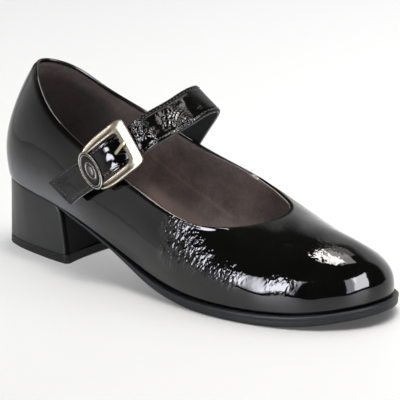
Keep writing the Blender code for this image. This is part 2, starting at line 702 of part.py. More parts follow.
def build_buckle_frame():
    angle = np.radians(np.linspace(-FRAME_OPEN_ANGLE, FRAME_OPEN_ANGLE, FRAME_STEPS))
    far = ray_reach(angle, FRAME_BULGE_T,
                    (FRAME_BULGE_T - FRAME_OPEN_END, FRAME_BAR_END - FRAME_BULGE_T),
                    FRAME_HALF_WIDTH, FRAME_CORNERS)
    window = FRAME_WINDOW_END - FRAME_WINDOW_MIDDLE
    near = ray_reach(angle, FRAME_WINDOW_MIDDLE, (window, window), FRAME_WINDOW_HALF,
                     FRAME_WINDOW_CORNERS)
    ray = np.stack([np.cos(angle), np.sin(angle)], axis=1)
    t_mid = (far + near) / 2 * ray[:, 0]
    bar = np.clip((t_mid - FRAME_BAR_START) / FRAME_BAR_BLEND, 0, 1)
    lug = np.exp(-((t_mid - PIN_T) / FRAME_LUG_SPREAD) ** 2)
    low = -FRAME_DEPTH - (FRAME_LUG_DEPTH - FRAME_DEPTH) * lug
    profile = [(1.0, low)]
    profile += [(share, height + extra * bar) for share, height, extra in FRAME_SECTION]
    profile += [(0.0, low)]
    strips = []
    for share, height in profile:
        reach = near + (far - near) * share
        spot = ray * reach[:, None]
        strips.append(buckle_point(spot[:, 0], spot[:, 1], height))
    section = np.stack(strips, axis=1)
    count, corners = section.shape[:2]
    faces = []
    for i in range(count - 1):
        for j in range(corners):
            k = (j + 1) % corners
            faces.append([i * corners + j, i * corners + k,
                          (i + 1) * corners + k, (i + 1) * corners + j])
    faces.append(list(range(corners)))
    faces.append([(count - 1) * corners + j for j in reversed(range(corners))])
    return new_piece("buckle_frame", section.reshape(-1, 3), faces, CHAMPAGNE_METAL)


def build_pin():
    turn = np.radians(np.arange(0, 360, PIN_FACET))
    points = []
    for w in (-PIN_HALF_LENGTH, PIN_HALF_LENGTH):
        for a in turn:
            points.append(buckle_point(PIN_T + PIN_RADIUS * np.cos(a), w,
                                       PIN_N + PIN_RADIUS * np.sin(a)))
    count = len(turn)
    faces = [list(range(count)), list(range(2 * count - 1, count - 1, -1))]
    for k in range(count):
        nxt = (k + 1) % count
        faces.append([k, nxt, count + nxt, count + k])
    return new_piece("buckle_pin", points, faces, CHAMPAGNE_METAL)


def build_plate():
    turn = np.radians(np.arange(0, 360, PLATE_FACET))
    rings = []
    for scale, n in PLATE_PROFILE:
        t = PLATE_T + PLATE_HALF_WIDTH * scale * np.sin(turn)
        w = PLATE_HALF_LENGTH * scale * np.cos(turn)
        rings.append(buckle_point(t, w, np.full(len(turn), n)))
    count = len(turn)
    points = np.concatenate(rings)
    faces = []
    for level in range(len(rings) - 1):
        for k in range(count):
            nxt = (k + 1) % count
            faces.append([level * count + k, level * count + nxt,
                          (level + 1) * count + nxt, (level + 1) * count + k])
    faces.append(list(range(count))[::-1])
    faces.append([(len(rings) - 1) * count + k for k in range(count)])
    return new_piece("buckle_oval_plate", points, faces, ANTIQUE_METAL)


def ribbon(path, half_thickness, half_widths):
    """Two faces of a bent bar in the buckle's own axes; path holds (t, n) rows."""
    path = np.array(path, float)
    step = unit(np.gradient(path, axis=0))
    side = np.column_stack([-step[:, 1], step[:, 0]]) * np.reshape(half_thickness, (-1, 1))
    grids = []
    for edge in (path + side, path - side):
        rows = [[buckle_point(t, w, n) for w in half_widths] for t, n in edge]
        grids.append(np.array(rows))
    return grids


def build_prong():
    turn = np.radians(np.linspace(*PRONG_EYE_TURN, PRONG_EYE_STEPS))
    eye = [(PIN_T + PRONG_EYE_RADIUS * np.cos(a), PIN_N + PRONG_EYE_RADIUS * np.sin(a),
            PRONG_EYE_HALF_THICKNESS) for a in turn]
    rows = np.array(eye + PRONG_PATH)
    half = PRONG_WIDTH / 2
    grids = ribbon(rows[:, :2], rows[:, 2], np.array([-half, half]))
    return sheet_piece("buckle_prong", *grids, CHAMPAGNE_METAL)


def build_tab():
    """Two leather layers on the quarter, joined by a loop round the pin with a prong notch."""
    radius = PIN_RADIUS + TAB_PIN_GAP + TAB_THICKNESS / 2
    columns = np.array([-TAB_HALF_WIDTH, -TAB_NOTCH_HALF, TAB_NOTCH_HALF, TAB_HALF_WIDTH])
    flat_t = np.linspace(TAB_END_T, PIN_T - TAB_LOOP_LEAD, TAB_FLAT_ROWS)
    turn = np.radians(np.linspace(*TAB_LOOP_TURN, TAB_LOOP_STEPS))
    low_n = PIN_N - radius
    high_n = low_n + TAB_THICKNESS + TAB_LAYER_GAP
    path = [(t, low_n) for t in flat_t]
    path += [(PIN_T + radius * np.cos(a), PIN_N + radius * np.sin(a)) for a in turn]
    path += [(t, high_n) for t in flat_t[::-1]]
    outer, inner = ribbon(path, TAB_THICKNESS / 2, columns)
    touching = outer if outer[0, 0, 1] > inner[0, 0, 1] else inner
    for row in range(TAB_FLAT_ROWS):
        face = touching[row].copy()
        lift = quarter_y(-1, face[:, 0], face[:, 2]) - TAB_CLEARANCE - face[:, 1]
        for layer in (row, len(path) - 1 - row):
            outer[layer, :, 1] += lift
            inner[layer, :, 1] += lift
    holes = [(i, 1) for i in range(TAB_FLAT_ROWS - 1, TAB_FLAT_ROWS + TAB_LOOP_STEPS)]
    return sheet_piece("buckle_tab", outer, inner, BLACK_PATENT, holes=holes)


def place_on_origin(pieces):
    """Moves every mesh so that the whole shoe's box has its bottom centre at the origin."""
    corners = np.array([v.co[:] for piece in pieces for v in piece.data.vertices])
    low, high = corners.min(axis=0), corners.max(axis=0)
    shift = np.array([(low[0] + high[0]) / 2, (low[1] + high[1]) / 2, low[2]])
    for piece in pieces:
        for vertex in piece.data.vertices:
            vertex.co = [float(c) for c in np.array(vertex.co[:]) - shift]


def main():
    for item in list(bpy.data.objects):
        bpy.data.objects.remove(item, do_unlink=True)
    feather = upper_surface(UPPER_AROUND, (0.0, 1.0))[:, 0]
    fine_feather = upper_surface(FINE_AROUND, (0.0, 1.0))[:, 0]
    build_upper()
    build_outsole(feather)
    build_insole(feather)
    build_heel(fine_feather)
    build_strap()
    build_buckle_frame()
    build_pin()
    build_plate()
    build_prong()
    build_tab()
    place_on_origin([item for item in bpy.data.objects if item.type == "MESH"])


main()
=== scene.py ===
"""Looks of a women's Mary Jane court shoe with a low block heel, right foot.

Tables are in millimetres in the shoe's own frame (x from heel to toe, y to the inner
side, z up from the ground); to_frame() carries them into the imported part's frame.
"""

import bmesh
import bpy
import numpy as np
from mathutils import Matrix, Vector


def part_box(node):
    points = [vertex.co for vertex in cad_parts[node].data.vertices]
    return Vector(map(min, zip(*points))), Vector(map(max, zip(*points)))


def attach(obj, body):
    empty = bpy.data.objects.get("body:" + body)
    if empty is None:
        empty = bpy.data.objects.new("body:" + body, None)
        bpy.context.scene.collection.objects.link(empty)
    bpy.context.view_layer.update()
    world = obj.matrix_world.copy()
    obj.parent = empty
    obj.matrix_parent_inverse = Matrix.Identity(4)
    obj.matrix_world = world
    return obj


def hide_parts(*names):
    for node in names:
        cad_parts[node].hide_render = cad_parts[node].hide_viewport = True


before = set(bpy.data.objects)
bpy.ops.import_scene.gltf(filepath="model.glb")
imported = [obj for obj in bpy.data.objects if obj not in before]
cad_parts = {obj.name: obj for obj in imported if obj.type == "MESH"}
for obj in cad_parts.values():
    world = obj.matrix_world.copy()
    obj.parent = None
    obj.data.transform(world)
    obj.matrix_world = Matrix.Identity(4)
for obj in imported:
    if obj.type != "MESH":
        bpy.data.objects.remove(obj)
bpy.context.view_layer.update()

MM = 0.001
GAP = 0.35                # between pieces that are cemented together
SEAT_AIR = 0.12           # what the heel seat adds to that gap
WALL = 2.0                # thickness of the upper with its lining
CAD_AROUND = 88
CAD_LEVELS = (0.0, 0.06, 0.14, 0.24, 0.35, 0.47, 0.59, 0.71, 0.82, 0.91, 0.97, 1.0)

# How finely the smooth pieces are drawn.
AROUND = 640
DENSE = 150
STRAP_FINE = 9

# Underside of the upper: x, z.
SEAT = [(-8, 42.6), (4, 41.6), (20, 39.2), (36, 35.9), (50, 33.0), (80, 23.9), (110, 13.1),
        (125, 9.2), (140, 7.0), (170, 5.8), (200, 6.2), (225, 7.9), (252, 12.4)]

# Sections of the upper: name, heading, feather x and y, steps outwards and up from there to
# belly, shoulder and crest, and the topline's x, y and z.
UPPER_ROWS = [
    ("heel_back",      180, -4.5,     1,   3, 12.5,  1.4,   32,  -7, 51.6,    12,     1, 106.5),
    ("heel_lateral",   226,    6, -21.3, 2.4, 12.5,  0.8,   29,  -8, 47.8,    20,   -13, 102.5),
    ("seat_lateral",   266,   38,   -28,   4,   13,  3.5,   27,   0,   40,    40,   -23,  85.6),
    ("breast_lateral", 270,   72, -30.5,   4, 12.5,    3,   22,   0,   33,  72.3,   -28,  68.7),
    ("waist_lateral",  270,  106, -33.5,   4,   12,  3.5,   22,   0, 32.4,   102, -30.5,    57),
    ("ball_lateral",   272,  142,   -40, 3.5,   12,    2, 22.6,  -3, 29.9, 129.3,   -34,  48.2),
    ("joint_lateral",  280,  178,   -42, 2.5,   11,   -2, 21.3, -10, 28.4,   153,   -32,  43.1),
    ("toe_lateral",    304,  212,   -34,   2,   11,   -6,   23, -17,   30,   169,   -21,    43),
    ("corner_lateral", 334,  237,   -16, 1.5, 11.6, -8.5, 23.9, -25, 31.4,   178,    -7,    44),
    ("toe_tip",          3,  246,     6, 1.5, 12.3,   -8,   24, -29,   31, 179.5,     7,    45),
    ("corner_medial",   35,  238,    24, 1.5, 11.6, -8.5, 22.9, -26, 30.4,   174,    19,  45.5),
    ("toe_medial",      68,  212,    36, 1.5,   12,   -6,   23, -15,   29,   161,    28,  47.5),
    ("joint_medial",    84,  178,    39,   2,   13,   -2, 25.3,  -6, 33.4,   142,    32,    53),
    ("ball_medial",     90,  142,    31, 3.5,   15,    4, 28.6,   2, 38.9,   119,    30,  60.5),
    ("waist_medial",    90,  105,    23,   5,   15,    7,   29,   6, 40.4,    96,    27,  69.5),
    ("breast_medial",   90,   72,    24,   4, 14.5,    5,   29,   2,   42,    70,    23,    81),
    ("seat_medial",     92,   38,    26, 3.5,   14,  3.5,   31,   0,   46,    42,    20,    92),
    ("heel_medial",    134,    7,  20.5, 4.2, 12.5,  3.8,   32,  -3,   50,    21,    14, 102.5),
]

# Thickness of the outsole, and its margin past the feather line, by x.
SOLE_THICKNESS = [(-8, 1.5), (38, 1.5), (60, 1.9), (92, 2.2), (105, 3.2), (115, 4.3),
                  (125, 5.0), (140, 5.4), (155, 5.9), (205, 6.2), (225, 6.0), (255, 5.6)]
SOLE_MARGIN = [(-8, -1.2), (48, -1.2), (58, 0.3), (90, 1.0), (140, 2.2), (180, 2.6), (260, 2.6)]
# Outsole edge from the bottom up, tread band, groove and lip: inset, share of the thickness.
SOLE_SIDE = [(1.50, 0.0), (0.80, 0.03), (0.40, 0.09), (0.28, 0.18), (0.28, 0.50), (0.29, 0.555),
             (0.30, 0.575), (0.28, 0.60), (0.24, 0.625), (0.17, 0.645), (0.05, 0.68),
             (0.00, 0.75), (0.02, 0.88), (0.22, 0.95), (0.70, 0.99), (1.60, 1.0)]

HEEL_HEIGHT = 36.0
TOP_PIECE_HEIGHT = 5.0
HEEL_BOW = 2.5            # how far the front face is hollowed across
# How far the wall stands inside the feather line: x, at the seat, at the ground.
HEEL_INSET = [(-6, -0.2, -2.2), (0, 0.6, -1.0), (4, 0.8, 1.4), (10, 0.8, 3.2), (15, 0.6, 3.8),
              (20, 0.3, 3.7), (25, 0.3, 3.4), (30, 0.3, 2.8), (36, 0.3, 1.9), (43, 0.3, 1.3),
              (60, 0.3, 1.3)]
# The heel's front face: share of the height, x.
HEEL_FRONT = [(0.0, 54.7), (0.14, 54.2), (0.47, 53.1), (0.78, 51.9), (0.91, 51.3), (0.97, 50.2),
              (1.0, 49.0)]

# The buckle has axes of its own: t up the strap, w across it and n out from its face.
BUCKLE_CENTRE = (92.4, -31.2, 70.0)
BUCKLE_OUT = (0.14, -0.945, 0.30)
BUCKLE_ALONG = (0.702, 0.308, 0.642)
PIN_T = -9.0
PIN_N = -2.75
PIN_RADIUS = 0.7

STRAP_THICKNESS = 1.8
BACKING = 0.6             # thickness of the strap's backing layer
STRAP_SEWN_SHARE = 9      # rows that are sewn to the medial quarter
TAIL_SKEW = 7.0
#  name           x      y     z     direction across     half width, steps to next
STRAP_ARCH = [
    ("sewn_end",   85.4, 31.0, 57.1, 0.82,  0.00, -0.57,  9.8, 3),
    ("sewn_mid",   90.5, 30.8, 64.5, 0.82,  0.00, -0.57,  9.8, 3),
    ("topline",    95.7, 30.2, 71.9, 0.82,  0.00, -0.57,  9.8, 3),
    ("rise",      102.5, 30.4, 81.7, 0.82,  0.00, -0.57,  9.8, 3),
    ("fold_low",  107.3, 30.4, 88.4, 0.82,  0.00, -0.57,  9.8, 3),
    ("fold",      109.4, 28.6, 91.6, 0.82,  0.00, -0.57,  9.9, 3),
    ("fold_top",  109.4, 24.5, 92.2, 0.82, -0.02, -0.57,  9.9, 5),
    ("crown",     107.2,  8.0, 88.0, 0.79, -0.05, -0.61,  9.7, 5),
    ("ramp",      104.0, -8.0, 83.5, 0.74, -0.09, -0.66,  9.2, 5),
]
#  name            t     w      n     half width, steps to next
STRAP_BUCKLE = [
    ("under_bar",  14.0, -0.9, -6.40, 8.8, 3),
    ("dip",         7.0, -0.2, -4.30, 8.8, 2),
    ("slot_top",    2.8,  0.0, -2.20, 8.8, 2),
    ("bend",        0.4,  0.0, -0.80, 8.8, 1),
    ("slot_end",   -1.6,  0.0, -0.06, 8.8, 3),
    ("pin",        -9.0,  0.0,  0.10, 8.8, 3),
    ("plate",     -17.0, -0.6, -0.05, 8.8, 4),
    ("tail",      -28.0, -2.0, -1.50, 9.0, 5),
    ("tail_end",  -43.4, -3.1, -4.60, 9.1, 0),
]


def unit(vector):
    vector = np.asarray(vector, float)
    return vector / np.linalg.norm(vector, axis=-1, keepdims=True)


def smooth_step(value):
    value = np.clip(value, 0, 1)
    return value * value * (3 - 2 * value)


def lengths_along(points):
    """Distance travelled along a polyline at each of its points."""
    return np.concatenate([[0.0], np.cumsum(np.linalg.norm(np.diff(points, axis=0), axis=1))])


def interpolated(at, knots, rows):
    """Straight interpolation between rows of numbers."""
    return np.stack([np.interp(at, knots, column) for column in np.transpose(rows)], axis=-1)


def along(table, x):
    """Straight interpolation in a two-column table."""
    return np.interp(x, *zip(*table))


def spline(knots, values, at, closed=False):
    """Cubic spline through the rows of values; a closed one has one more knot, its period."""
    knots, values, at = (np.asarray(item, float) for item in (knots, values, at))
    count = len(values)
    step = np.diff(knots)
    matrix, right = np.eye(count), np.zeros_like(values)
    for i in range(count) if closed else range(1, count - 1):
        before, after = (i - 1) % count, (i + 1) % count
        matrix[i, i] = 2 * (step[i - 1] + step[i])
        matrix[i, before], matrix[i, after] = step[i - 1], step[i]
        right[i] = 6 * ((values[after] - values[i]) / step[i]
                        - (values[i] - values[before]) / step[i - 1])
    bend = np.linalg.solve(matrix, right)
    at = np.mod(at, knots[-1]) if closed else np.clip(at, knots[0], knots[-1])
    k = np.clip(np.searchsorted(knots, at, side="right") - 1, 0, len(step) - 1)
    after = (k + 1) % count
    shape = (-1,) + (1,) * (values.ndim - 1)
    width = step[k].reshape(shape)
    a = ((knots[k + 1] - at) / step[k]).reshape(shape)
    b = 1 - a
    curve = (a ** 3 - a) * bend[k] + (b ** 3 - b) * bend[after]
    return a * values[k] + b * values[after] + curve * width ** 2 / 6


def clamped_weights(share):
    """Weights of five control points of a clamped cubic B-spline with one inner knot."""
    knots = np.array([0, 0, 0, 0, 0.5, 1, 1, 1, 1])
    share = np.clip(share, 0, 1 - 1e-12)
    weights = [((share >= a) & (share < b)) * 1.0 for a, b in zip(knots, knots[1:])]
    for degree in (1, 2, 3):
        span = np.maximum(knots[degree:] - knots[:-degree], 1e-9)
        weights = [(share - knots[i]) / span[i] * weights[i]
                   + (knots[i + degree + 1] - share) / span[i + 1] * weights[i + 1]
                   for i in range(len(weights) - 1)]
    return np.array(weights)


def seat(x):
    """Height of the upper's underside."""
    return spline(*zip(*SEAT), np.ravel(x)).reshape(np.shape(x))


def sole_top(x):
    return seat(x) - GAP - SEAT_AIR * np.clip((36 - np.asarray(x, float)) / 16, 0, 1)


def sole_floor(x):
    return np.maximum(seat(x) - along(SOLE_THICKNESS, x), 0.0)


def upper_surface(around, shares):
    """Outer face of the upper as a grid: around the shoe by up from feather to topline."""
    controls = []
    for _, heading, x, y, *rises, top_x, top_y, top_z in UPPER_ROWS:
        ahead, aside = np.cos(np.radians(heading)), np.sin(np.radians(heading))
        base = float(seat(x))
        controls.append([(x, y, base),
                         *((x + ahead * out, y + aside * out, base + up)
                           for out, up in zip(rises[::2], rises[1::2])),
                         (top_x, top_y, top_z)])
    controls = np.array(controls, float)
    knots = lengths_along(np.vstack([controls[:, 0], controls[:1, 0]]))
    turns = np.arange(around) * knots[-1] / around
    loops = spline(knots, controls.reshape(len(controls), -1), turns, closed=True)
    return np.einsum("kv,ukc->uvc", clamped_weights(shares), loops.reshape(around, 5, 3))


def outward_normals(grid):
    round_step = np.roll(grid, -1, axis=0) - np.roll(grid, 1, axis=0)
    return unit(np.cross(round_step, np.gradient(grid, axis=1)))


def plan_normals(loop):
    """Outward directions in plan of a closed loop that runs anticlockwise seen from above."""
    step = np.roll(loop, -1, axis=0) - np.roll(loop, 1, axis=0)
    return unit(np.column_stack([step[:, 1], -step[:, 0]]))


def inset_loop(loop, inset):
    """The loop moved inwards in plan; inset is one distance or one per point."""
    return loop[:, :2] - plan_normals(loop) * np.reshape(inset, (-1, 1))


def raised(plan, height):
    return np.column_stack([plan, np.broadcast_to(height, len(plan))])


# What is taken off the table's x and y so that a piece lies on its CAD solid.
LOW_CORNER = upper_surface(CAD_AROUND, CAD_LEVELS).reshape(-1, 3).min(axis=0)
SHIFT = (LOW_CORNER - np.array(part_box("upper")[0]) / MM) * (1, 1, 0)


def to_frame(points):
    return (np.asarray(points, float).reshape(-1, 3) - SHIFT) * MM


def add_object(name, data):
    thing = bpy.data.objects.new(name, data)
    bpy.context.scene.collection.objects.link(thing)
    return thing


def new_piece(name, points, faces, material, slot, replaced=(), sharp=40, attributes=None):
    """A mesh piece from table points, shaded smooth, riding on the shoe."""
    mesh = bpy.data.meshes.new(name)
    mesh.from_pydata(to_frame(points).tolist(), [], [list(map(int, face)) for face in faces])
    shell = bmesh.new()
    shell.from_mesh(mesh)
    bmesh.ops.recalc_face_normals(shell, faces=shell.faces)
    shell.to_mesh(mesh)
    shell.free()
    mesh.shade_smooth()
    mesh.set_sharp_from_angle(angle=np.radians(sharp))
    for key, values in (attributes or {}).items():
        layer = mesh.attributes.new(key, "FLOAT", "POINT")
        layer.data.foreach_set("value", np.ravel(values).astype(np.float32))
    mesh.materials.append(material)
    piece = add_object(name, mesh)
    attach(piece, "root")
    for node in replaced:
        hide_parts(node)
    return piece


def tube_piece(name, rings, *looks, **more):
    """A piece from closed rings one after the other, with an end face at either end."""
    new_piece(name, rings, tube_faces(*np.shape(rings)[:2]), *looks, **more)


def quads(index):
    """Faces of a grid of point numbers."""
    corners = index[:-1, :-1], index[1:, :-1], index[1:, 1:], index[:-1, 1:]
    return np.stack(corners, axis=-1).reshape(-1, 4).tolist()


def ring_faces(rows, columns, wrap_rows=False):
    """Quads of a grid whose columns close on themselves; rows may close too."""
    index = np.arange(rows * columns).reshape(rows, columns)
    return quads(np.pad(index, ((0, int(wrap_rows)), (0, 1)), mode="wrap"))


def tube_faces(rows, columns):
    """A closed tube: ring quads and an end face at either end."""
    first = list(range(columns))
    return ring_faces(rows, columns) + [first, [(rows - 1) * columns + j for j in first[::-1]]]


def sheet_faces(rows, columns, holes=()):
    """Faces of a sheet between two grids, with walls at its edges and round its holes."""
    size = rows * columns
    cells = [cell for k, cell in enumerate(quads(np.arange(size).reshape(rows, columns)))
             if divmod(k, columns - 1) not in holes]
    edges = {edge for cell in cells for edge in zip(cell, cell[1:] + cell[:1])}
    walls = sorted(edge for edge in edges if edge[::-1] not in edges)
    return (cells + [[corner + size for corner in reversed(cell)] for cell in cells]
            + [[b, a, a + size, b + size] for a, b in walls])


def cap_faces(points, ring_start, count, level, splits, front=0):
    """Fills a ring with cross rows from its point 0 at the back to its front.

    The front is the point opposite, or a side with this many points between its corners.
    """
    half = (count - front) // 2
    lines = [[ring_start] * (splits + 1)]
    for j in range(1, half):
        first, last = ring_start + j, ring_start + count - j
        line = [first]
        for share in np.arange(1, splits) / splits:
            spot = points[first] + (points[last] - points[first]) * share
            points.append(np.array([spot[0], spot[1], float(level(spot[0]))]))
            line.append(len(points) - 1)
        lines.append(line + [last])
    end = ring_start + half
    lines.append(list(range(end, end + splits + 1)) if front else [end] * (splits + 1))
    return [list(dict.fromkeys(face)) for face in quads(np.array(lines))]


def stack_mesh(rings, floor, ceiling, splits, front=0):
    """Points and faces of rings stacked from the bottom up, closed at both ends."""
    count = len(rings[0])
    points = [np.array(spot, float) for ring in rings for spot in ring]
    faces = ring_faces(len(rings), count)
    for ring_start, level in ((0, floor), (len(points) - count, ceiling)):
        faces += cap_faces(points, ring_start, count, level, splits, front)
    return np.array(points), faces


# ---- materials

def feed(node, inputs):
    """Puts numbers, colours or other nodes' outputs into a node's sockets."""
    for key, value in dict(inputs).items():
        socket = node.inputs[key]
        if isinstance(value, bpy.types.NodeSocket):
            node.id_data.links.new(value, socket)
        elif value is not None:
            socket.default_value = (*value, 1.0) if socket.type == "RGBA" else value


def add_node(tree, kind, inputs=(), **settings):
    """A shader node with its settings and what goes into its sockets."""
    node = tree.nodes.new("ShaderNode" + kind)
    for key, value in settings.items():
        setattr(node, key, value)
    feed(node, inputs)
    return node


def shader_material(name, colour, metallic=0.0, roughness=0.5, coat=0.0, coat_roughness=0.03,
                    specular=0.5, sheen=0.0):
    """A Principled material with its steady values on the shader's own sockets."""
    material = bpy.data.materials.new(name)
    material.use_nodes = True
    shader = material.node_tree.nodes["Principled BSDF"]
    feed(shader, {"Base Color": colour, "Metallic": metallic, "Roughness": roughness,
                  "Coat Weight": coat, "Coat Roughness": coat_roughness, "IOR": 1.5,
                  "Specular IOR Level": specular, "Sheen Weight": sheen,
                  "Sheen Roughness": 0.5})
    return material, material.node_tree, shader


def place_in(tree, space="Object"):
    return add_node(tree, "TexCoord").outputs[space]


def noise(tree, scale, detail=2.0, roughness=0.5, distortion=0.0, drawn=None):
    """Noise in the shoe's own coordinates; scale is in cycles a metre.

    drawn is (turn, length): the marks are that many times longer along z turned about y."""
    place = place_in(tree)
    if drawn is not None:
        turn, length = drawn
        stretch = {"Vector": place, "Rotation": (0.0, np.radians(turn), 0.0),
                   "Scale": (1.0, 1.0, length)}
        place = add_node(tree, "Mapping", stretch, vector_type="TEXTURE").outputs["Vector"]
    inputs = {"Vector": place, "Scale": scale, "Detail": detail, "Roughness": roughness,
              "Distortion": distortion}
    return add_node(tree, "TexNoise", inputs).outputs["Fac"]


def maths(tree, operation, *values):
    return add_node(tree, "Math", enumerate(values), operation=operation).outputs[0]


def soft_step(tree, value, start, stop):
    inputs = {"Value": value, "From Min": start, "From Max": stop}
    return add_node(tree, "MapRange", inputs, interpolation_type="SMOOTHSTEP").outputs[0]


def ramp(tree, factor, *stops):
    node = add_node(tree, "ValToRGB", {"Fac": factor})
    for element, (position, colour) in zip(node.color_ramp.elements, stops):
        element.position = position
        element.color = (*colour, 1.0)
    return node.outputs["Color"]


def painted(tree, name):
    """How much the mesh is painted with an attribute, 0 to 1."""
    return add_node(tree, "Attribute", attribute_name=name).outputs["Fac"]


def painted_over(tree, colour, name, other):
    """The colour, turning to the other one where the mesh is painted so."""
    inputs = {0: painted(tree, name), 6: colour, 7: other}
    return add_node(tree, "Mix", inputs, data_type="RGBA").outputs[2]


def bump(tree, height, distance, normal=None):
    inputs = {"Height": height, "Distance": distance, "Strength": 1.0, "Normal": normal}
    return add_node(tree, "Bump", inputs).outputs["Normal"]


def tinted(colour, amount):
    return tuple(amount * part for part in colour)


# Scales of the materials' noises, in cycles a metre.
FINE_GRAIN, COARSE_GRAIN, UNEVEN_FOLDS, WRINKLES, BLACK_TONES = 660, 320, 150, 95, 60
FIBRE, SUEDE_PATCHES = 900, 42
SPECK, RUBBER_TONES = 700, 40
WEAR = 260
GRAIN_LEFT = 0.02         # how much grain the smooth leather keeps
FURROW_PITCH = 0.0015
FURROW_DEPTH = 0.00022
PATENT_BLACK = (0.002, 0.002, 0.002)
PATENT_TONES = ((0.3, (0.0016, 0.0016, 0.0014)), (0.7, (0.0030, 0.0030, 0.0025)))
# Milky bluish grey painted on the patent as a painted reflection of the floor.
PAINTED_FLOOR_REFLECTION = (0.120, 0.124, 0.134)


def patent_leather(name, grain, wrinkle, drawn=None, furrow_centre=None):
    """Black patent: fine grain where the mesh is painted creased, and a clear coat."""
    material, tree, shader = shader_material(name, PATENT_BLACK, coat=1.0, coat_roughness=0.05,
                                             specular=0.0)
    fine = noise(tree, FINE_GRAIN, 0.5, roughness=0.4, distortion=0.4, drawn=drawn)
    coarse = noise(tree, COARSE_GRAIN, 0.5, roughness=0.4, distortion=0.8, drawn=drawn)
    both = maths(tree, "MULTIPLY_ADD", coarse, 1.2, fine)
    amount = maths(tree, "ADD", painted(tree, "creased"), GRAIN_LEFT)
    relief = bump(tree, maths(tree, "MULTIPLY", both, amount), grain)
    if furrow_centre is not None:
        ends = {0: place_in(tree), 1: to_frame(furrow_centre)[0]}
        away = add_node(tree, "VectorMath", ends, operation="DISTANCE").outputs["Value"]
        rounds = maths(tree, "MULTIPLY", away, 2 * np.pi / FURROW_PITCH)
        uneven = noise(tree, UNEVEN_FOLDS, distortion=1.0)
        turns = maths(tree, "SINE", maths(tree, "MULTIPLY_ADD", uneven, 16.0, rounds))
        folds = maths(tree, "MULTIPLY_ADD", turns, 0.5, 0.5)
        folded = maths(tree, "MULTIPLY", folds, painted(tree, "furrowed"))
        relief = bump(tree, folded, FURROW_DEPTH, relief)
    relief = bump(tree, noise(tree, WRINKLES, detail=1.5), wrinkle, relief)
    colour = ramp(tree, noise(tree, BLACK_TONES), *PATENT_TONES)
    # Painted reflection: where the mesh is painted so, the black turns milky grey.
    feed(shader, {"Normal": relief, "Coat Normal": relief,
                  "Base Color": painted_over(tree, colour, "painted_reflection", PAINTED_FLOOR_REFLECTION)})
    return material


def suede(name, dark, light, nap=0.00035, **patches):
    """Brushed leather; each patch is another colour where the mesh is painted with its name."""
    material, tree, shader = shader_material(name, dark, roughness=0.95, specular=0.15,
                                             sheen=0.35)
    fibre = noise(tree, FIBRE, detail=3.0, roughness=0.7)
    patch = noise(tree, SUEDE_PATCHES, detail=4.0, roughness=0.7)
    tone = maths(tree, "MULTIPLY_ADD", fibre, 0.35, patch)
    colour = ramp(tree, tone, (0.47, dark), (0.82, light))
    for attribute, other in patches.items():
        colour = painted_over(tree, colour, attribute, other)
    feed(shader, {"Base Color": colour, "Normal": bump(tree, fibre, nap)})
    return material


def rubber(name, colour, roughness, grain, coat=0.0, matt_and_shaded_parts=False):
    """Rubber or lacquer; where the mesh is marked matt it is dull, and darkened there as painted
    shade.
    """
    material, tree, shader = shader_material(name, colour, roughness=roughness, coat=coat,
                                             coat_roughness=0.25, specular=0.2)
    tone = noise(tree, RUBBER_TONES, detail=3.0)
    shade = ramp(tree, tone, (0.35, colour), (0.7, tinted(colour, 1.5)))
    if matt_and_shaded_parts:
        matt_and_painted_shade = painted(tree, "matt_and_painted_shade")
        # Painted shade: the colour falls almost to black where the mesh is marked.
        shade = painted_over(tree, shade, "matt_and_painted_shade", tinted(colour, 0.05))
        feed(shader, {"Coat Weight": maths(tree, "MULTIPLY_ADD", matt_and_painted_shade, -0.85 * coat, coat),
                      "Specular IOR Level": maths(tree, "MULTIPLY_ADD", matt_and_painted_shade, -0.15, 0.2)})
    feed(shader, {"Base Color": shade, "Normal": bump(tree, noise(tree, SPECK), grain),
                  "Roughness": maths(tree, "MULTIPLY_ADD", tone, 0.2, roughness - 0.1)})
    return material


def metal(name, colour, roughness, dark=None):
    """Plated metal with fine wear; where the mesh is marked it turns dark: a dark field on the
    plate, painted shade on the frame.
    """
    material, tree, shader = shader_material(name, colour, metallic=1.0, roughness=roughness)
    wear = noise(tree, WEAR, detail=3.0)
    if dark is not None:
        shade = painted_over(tree, colour, "dark_field_and_painted_shade", dark)
    else:
        shade = ramp(tree, wear, (0.3, tinted(colour, 0.86)), (0.7, colour))
    feed(shader, {"Base Color": shade, "Normal": bump(tree, wear, 0.00004),
                  "Roughness": maths(tree, "MULTIPLY_ADD", wear, 0.16, roughness - 0.08)})
    return material


FURROW_CENTRE = (114, 8, 84)
UPPER_PATENT = patent_leather("upper_patent_material", 0.00085, 0.00010, drawn=(24, 2.4))
STRAP_PATENT = patent_leather("strap_patent_material", 0.00085, 0.00006,
                              furrow_centre=FURROW_CENTRE)
TAB_PATENT = patent_leather("tab_patent_material", 0.00010, 0.00004)
# Besides its own tones, the lining has a dark colour painted on as painted shade, and a pale one
# for painted light and its seam line.
LINING_SUEDE = suede("lining_suede_material", (0.165, 0.138, 0.131), (0.440, 0.372, 0.355),
                     worn=(0.070, 0.060, 0.058), pale=(0.66, 0.51, 0.45))
SOCK_SUEDE = suede("sock_suede_material", (0.160, 0.128, 0.116), (0.420, 0.340, 0.312))
EDGE_SUEDE = suede("throat_edge_material", (0.52, 0.46, 0.40), (0.68, 0.62, 0.55), nap=0.0001)
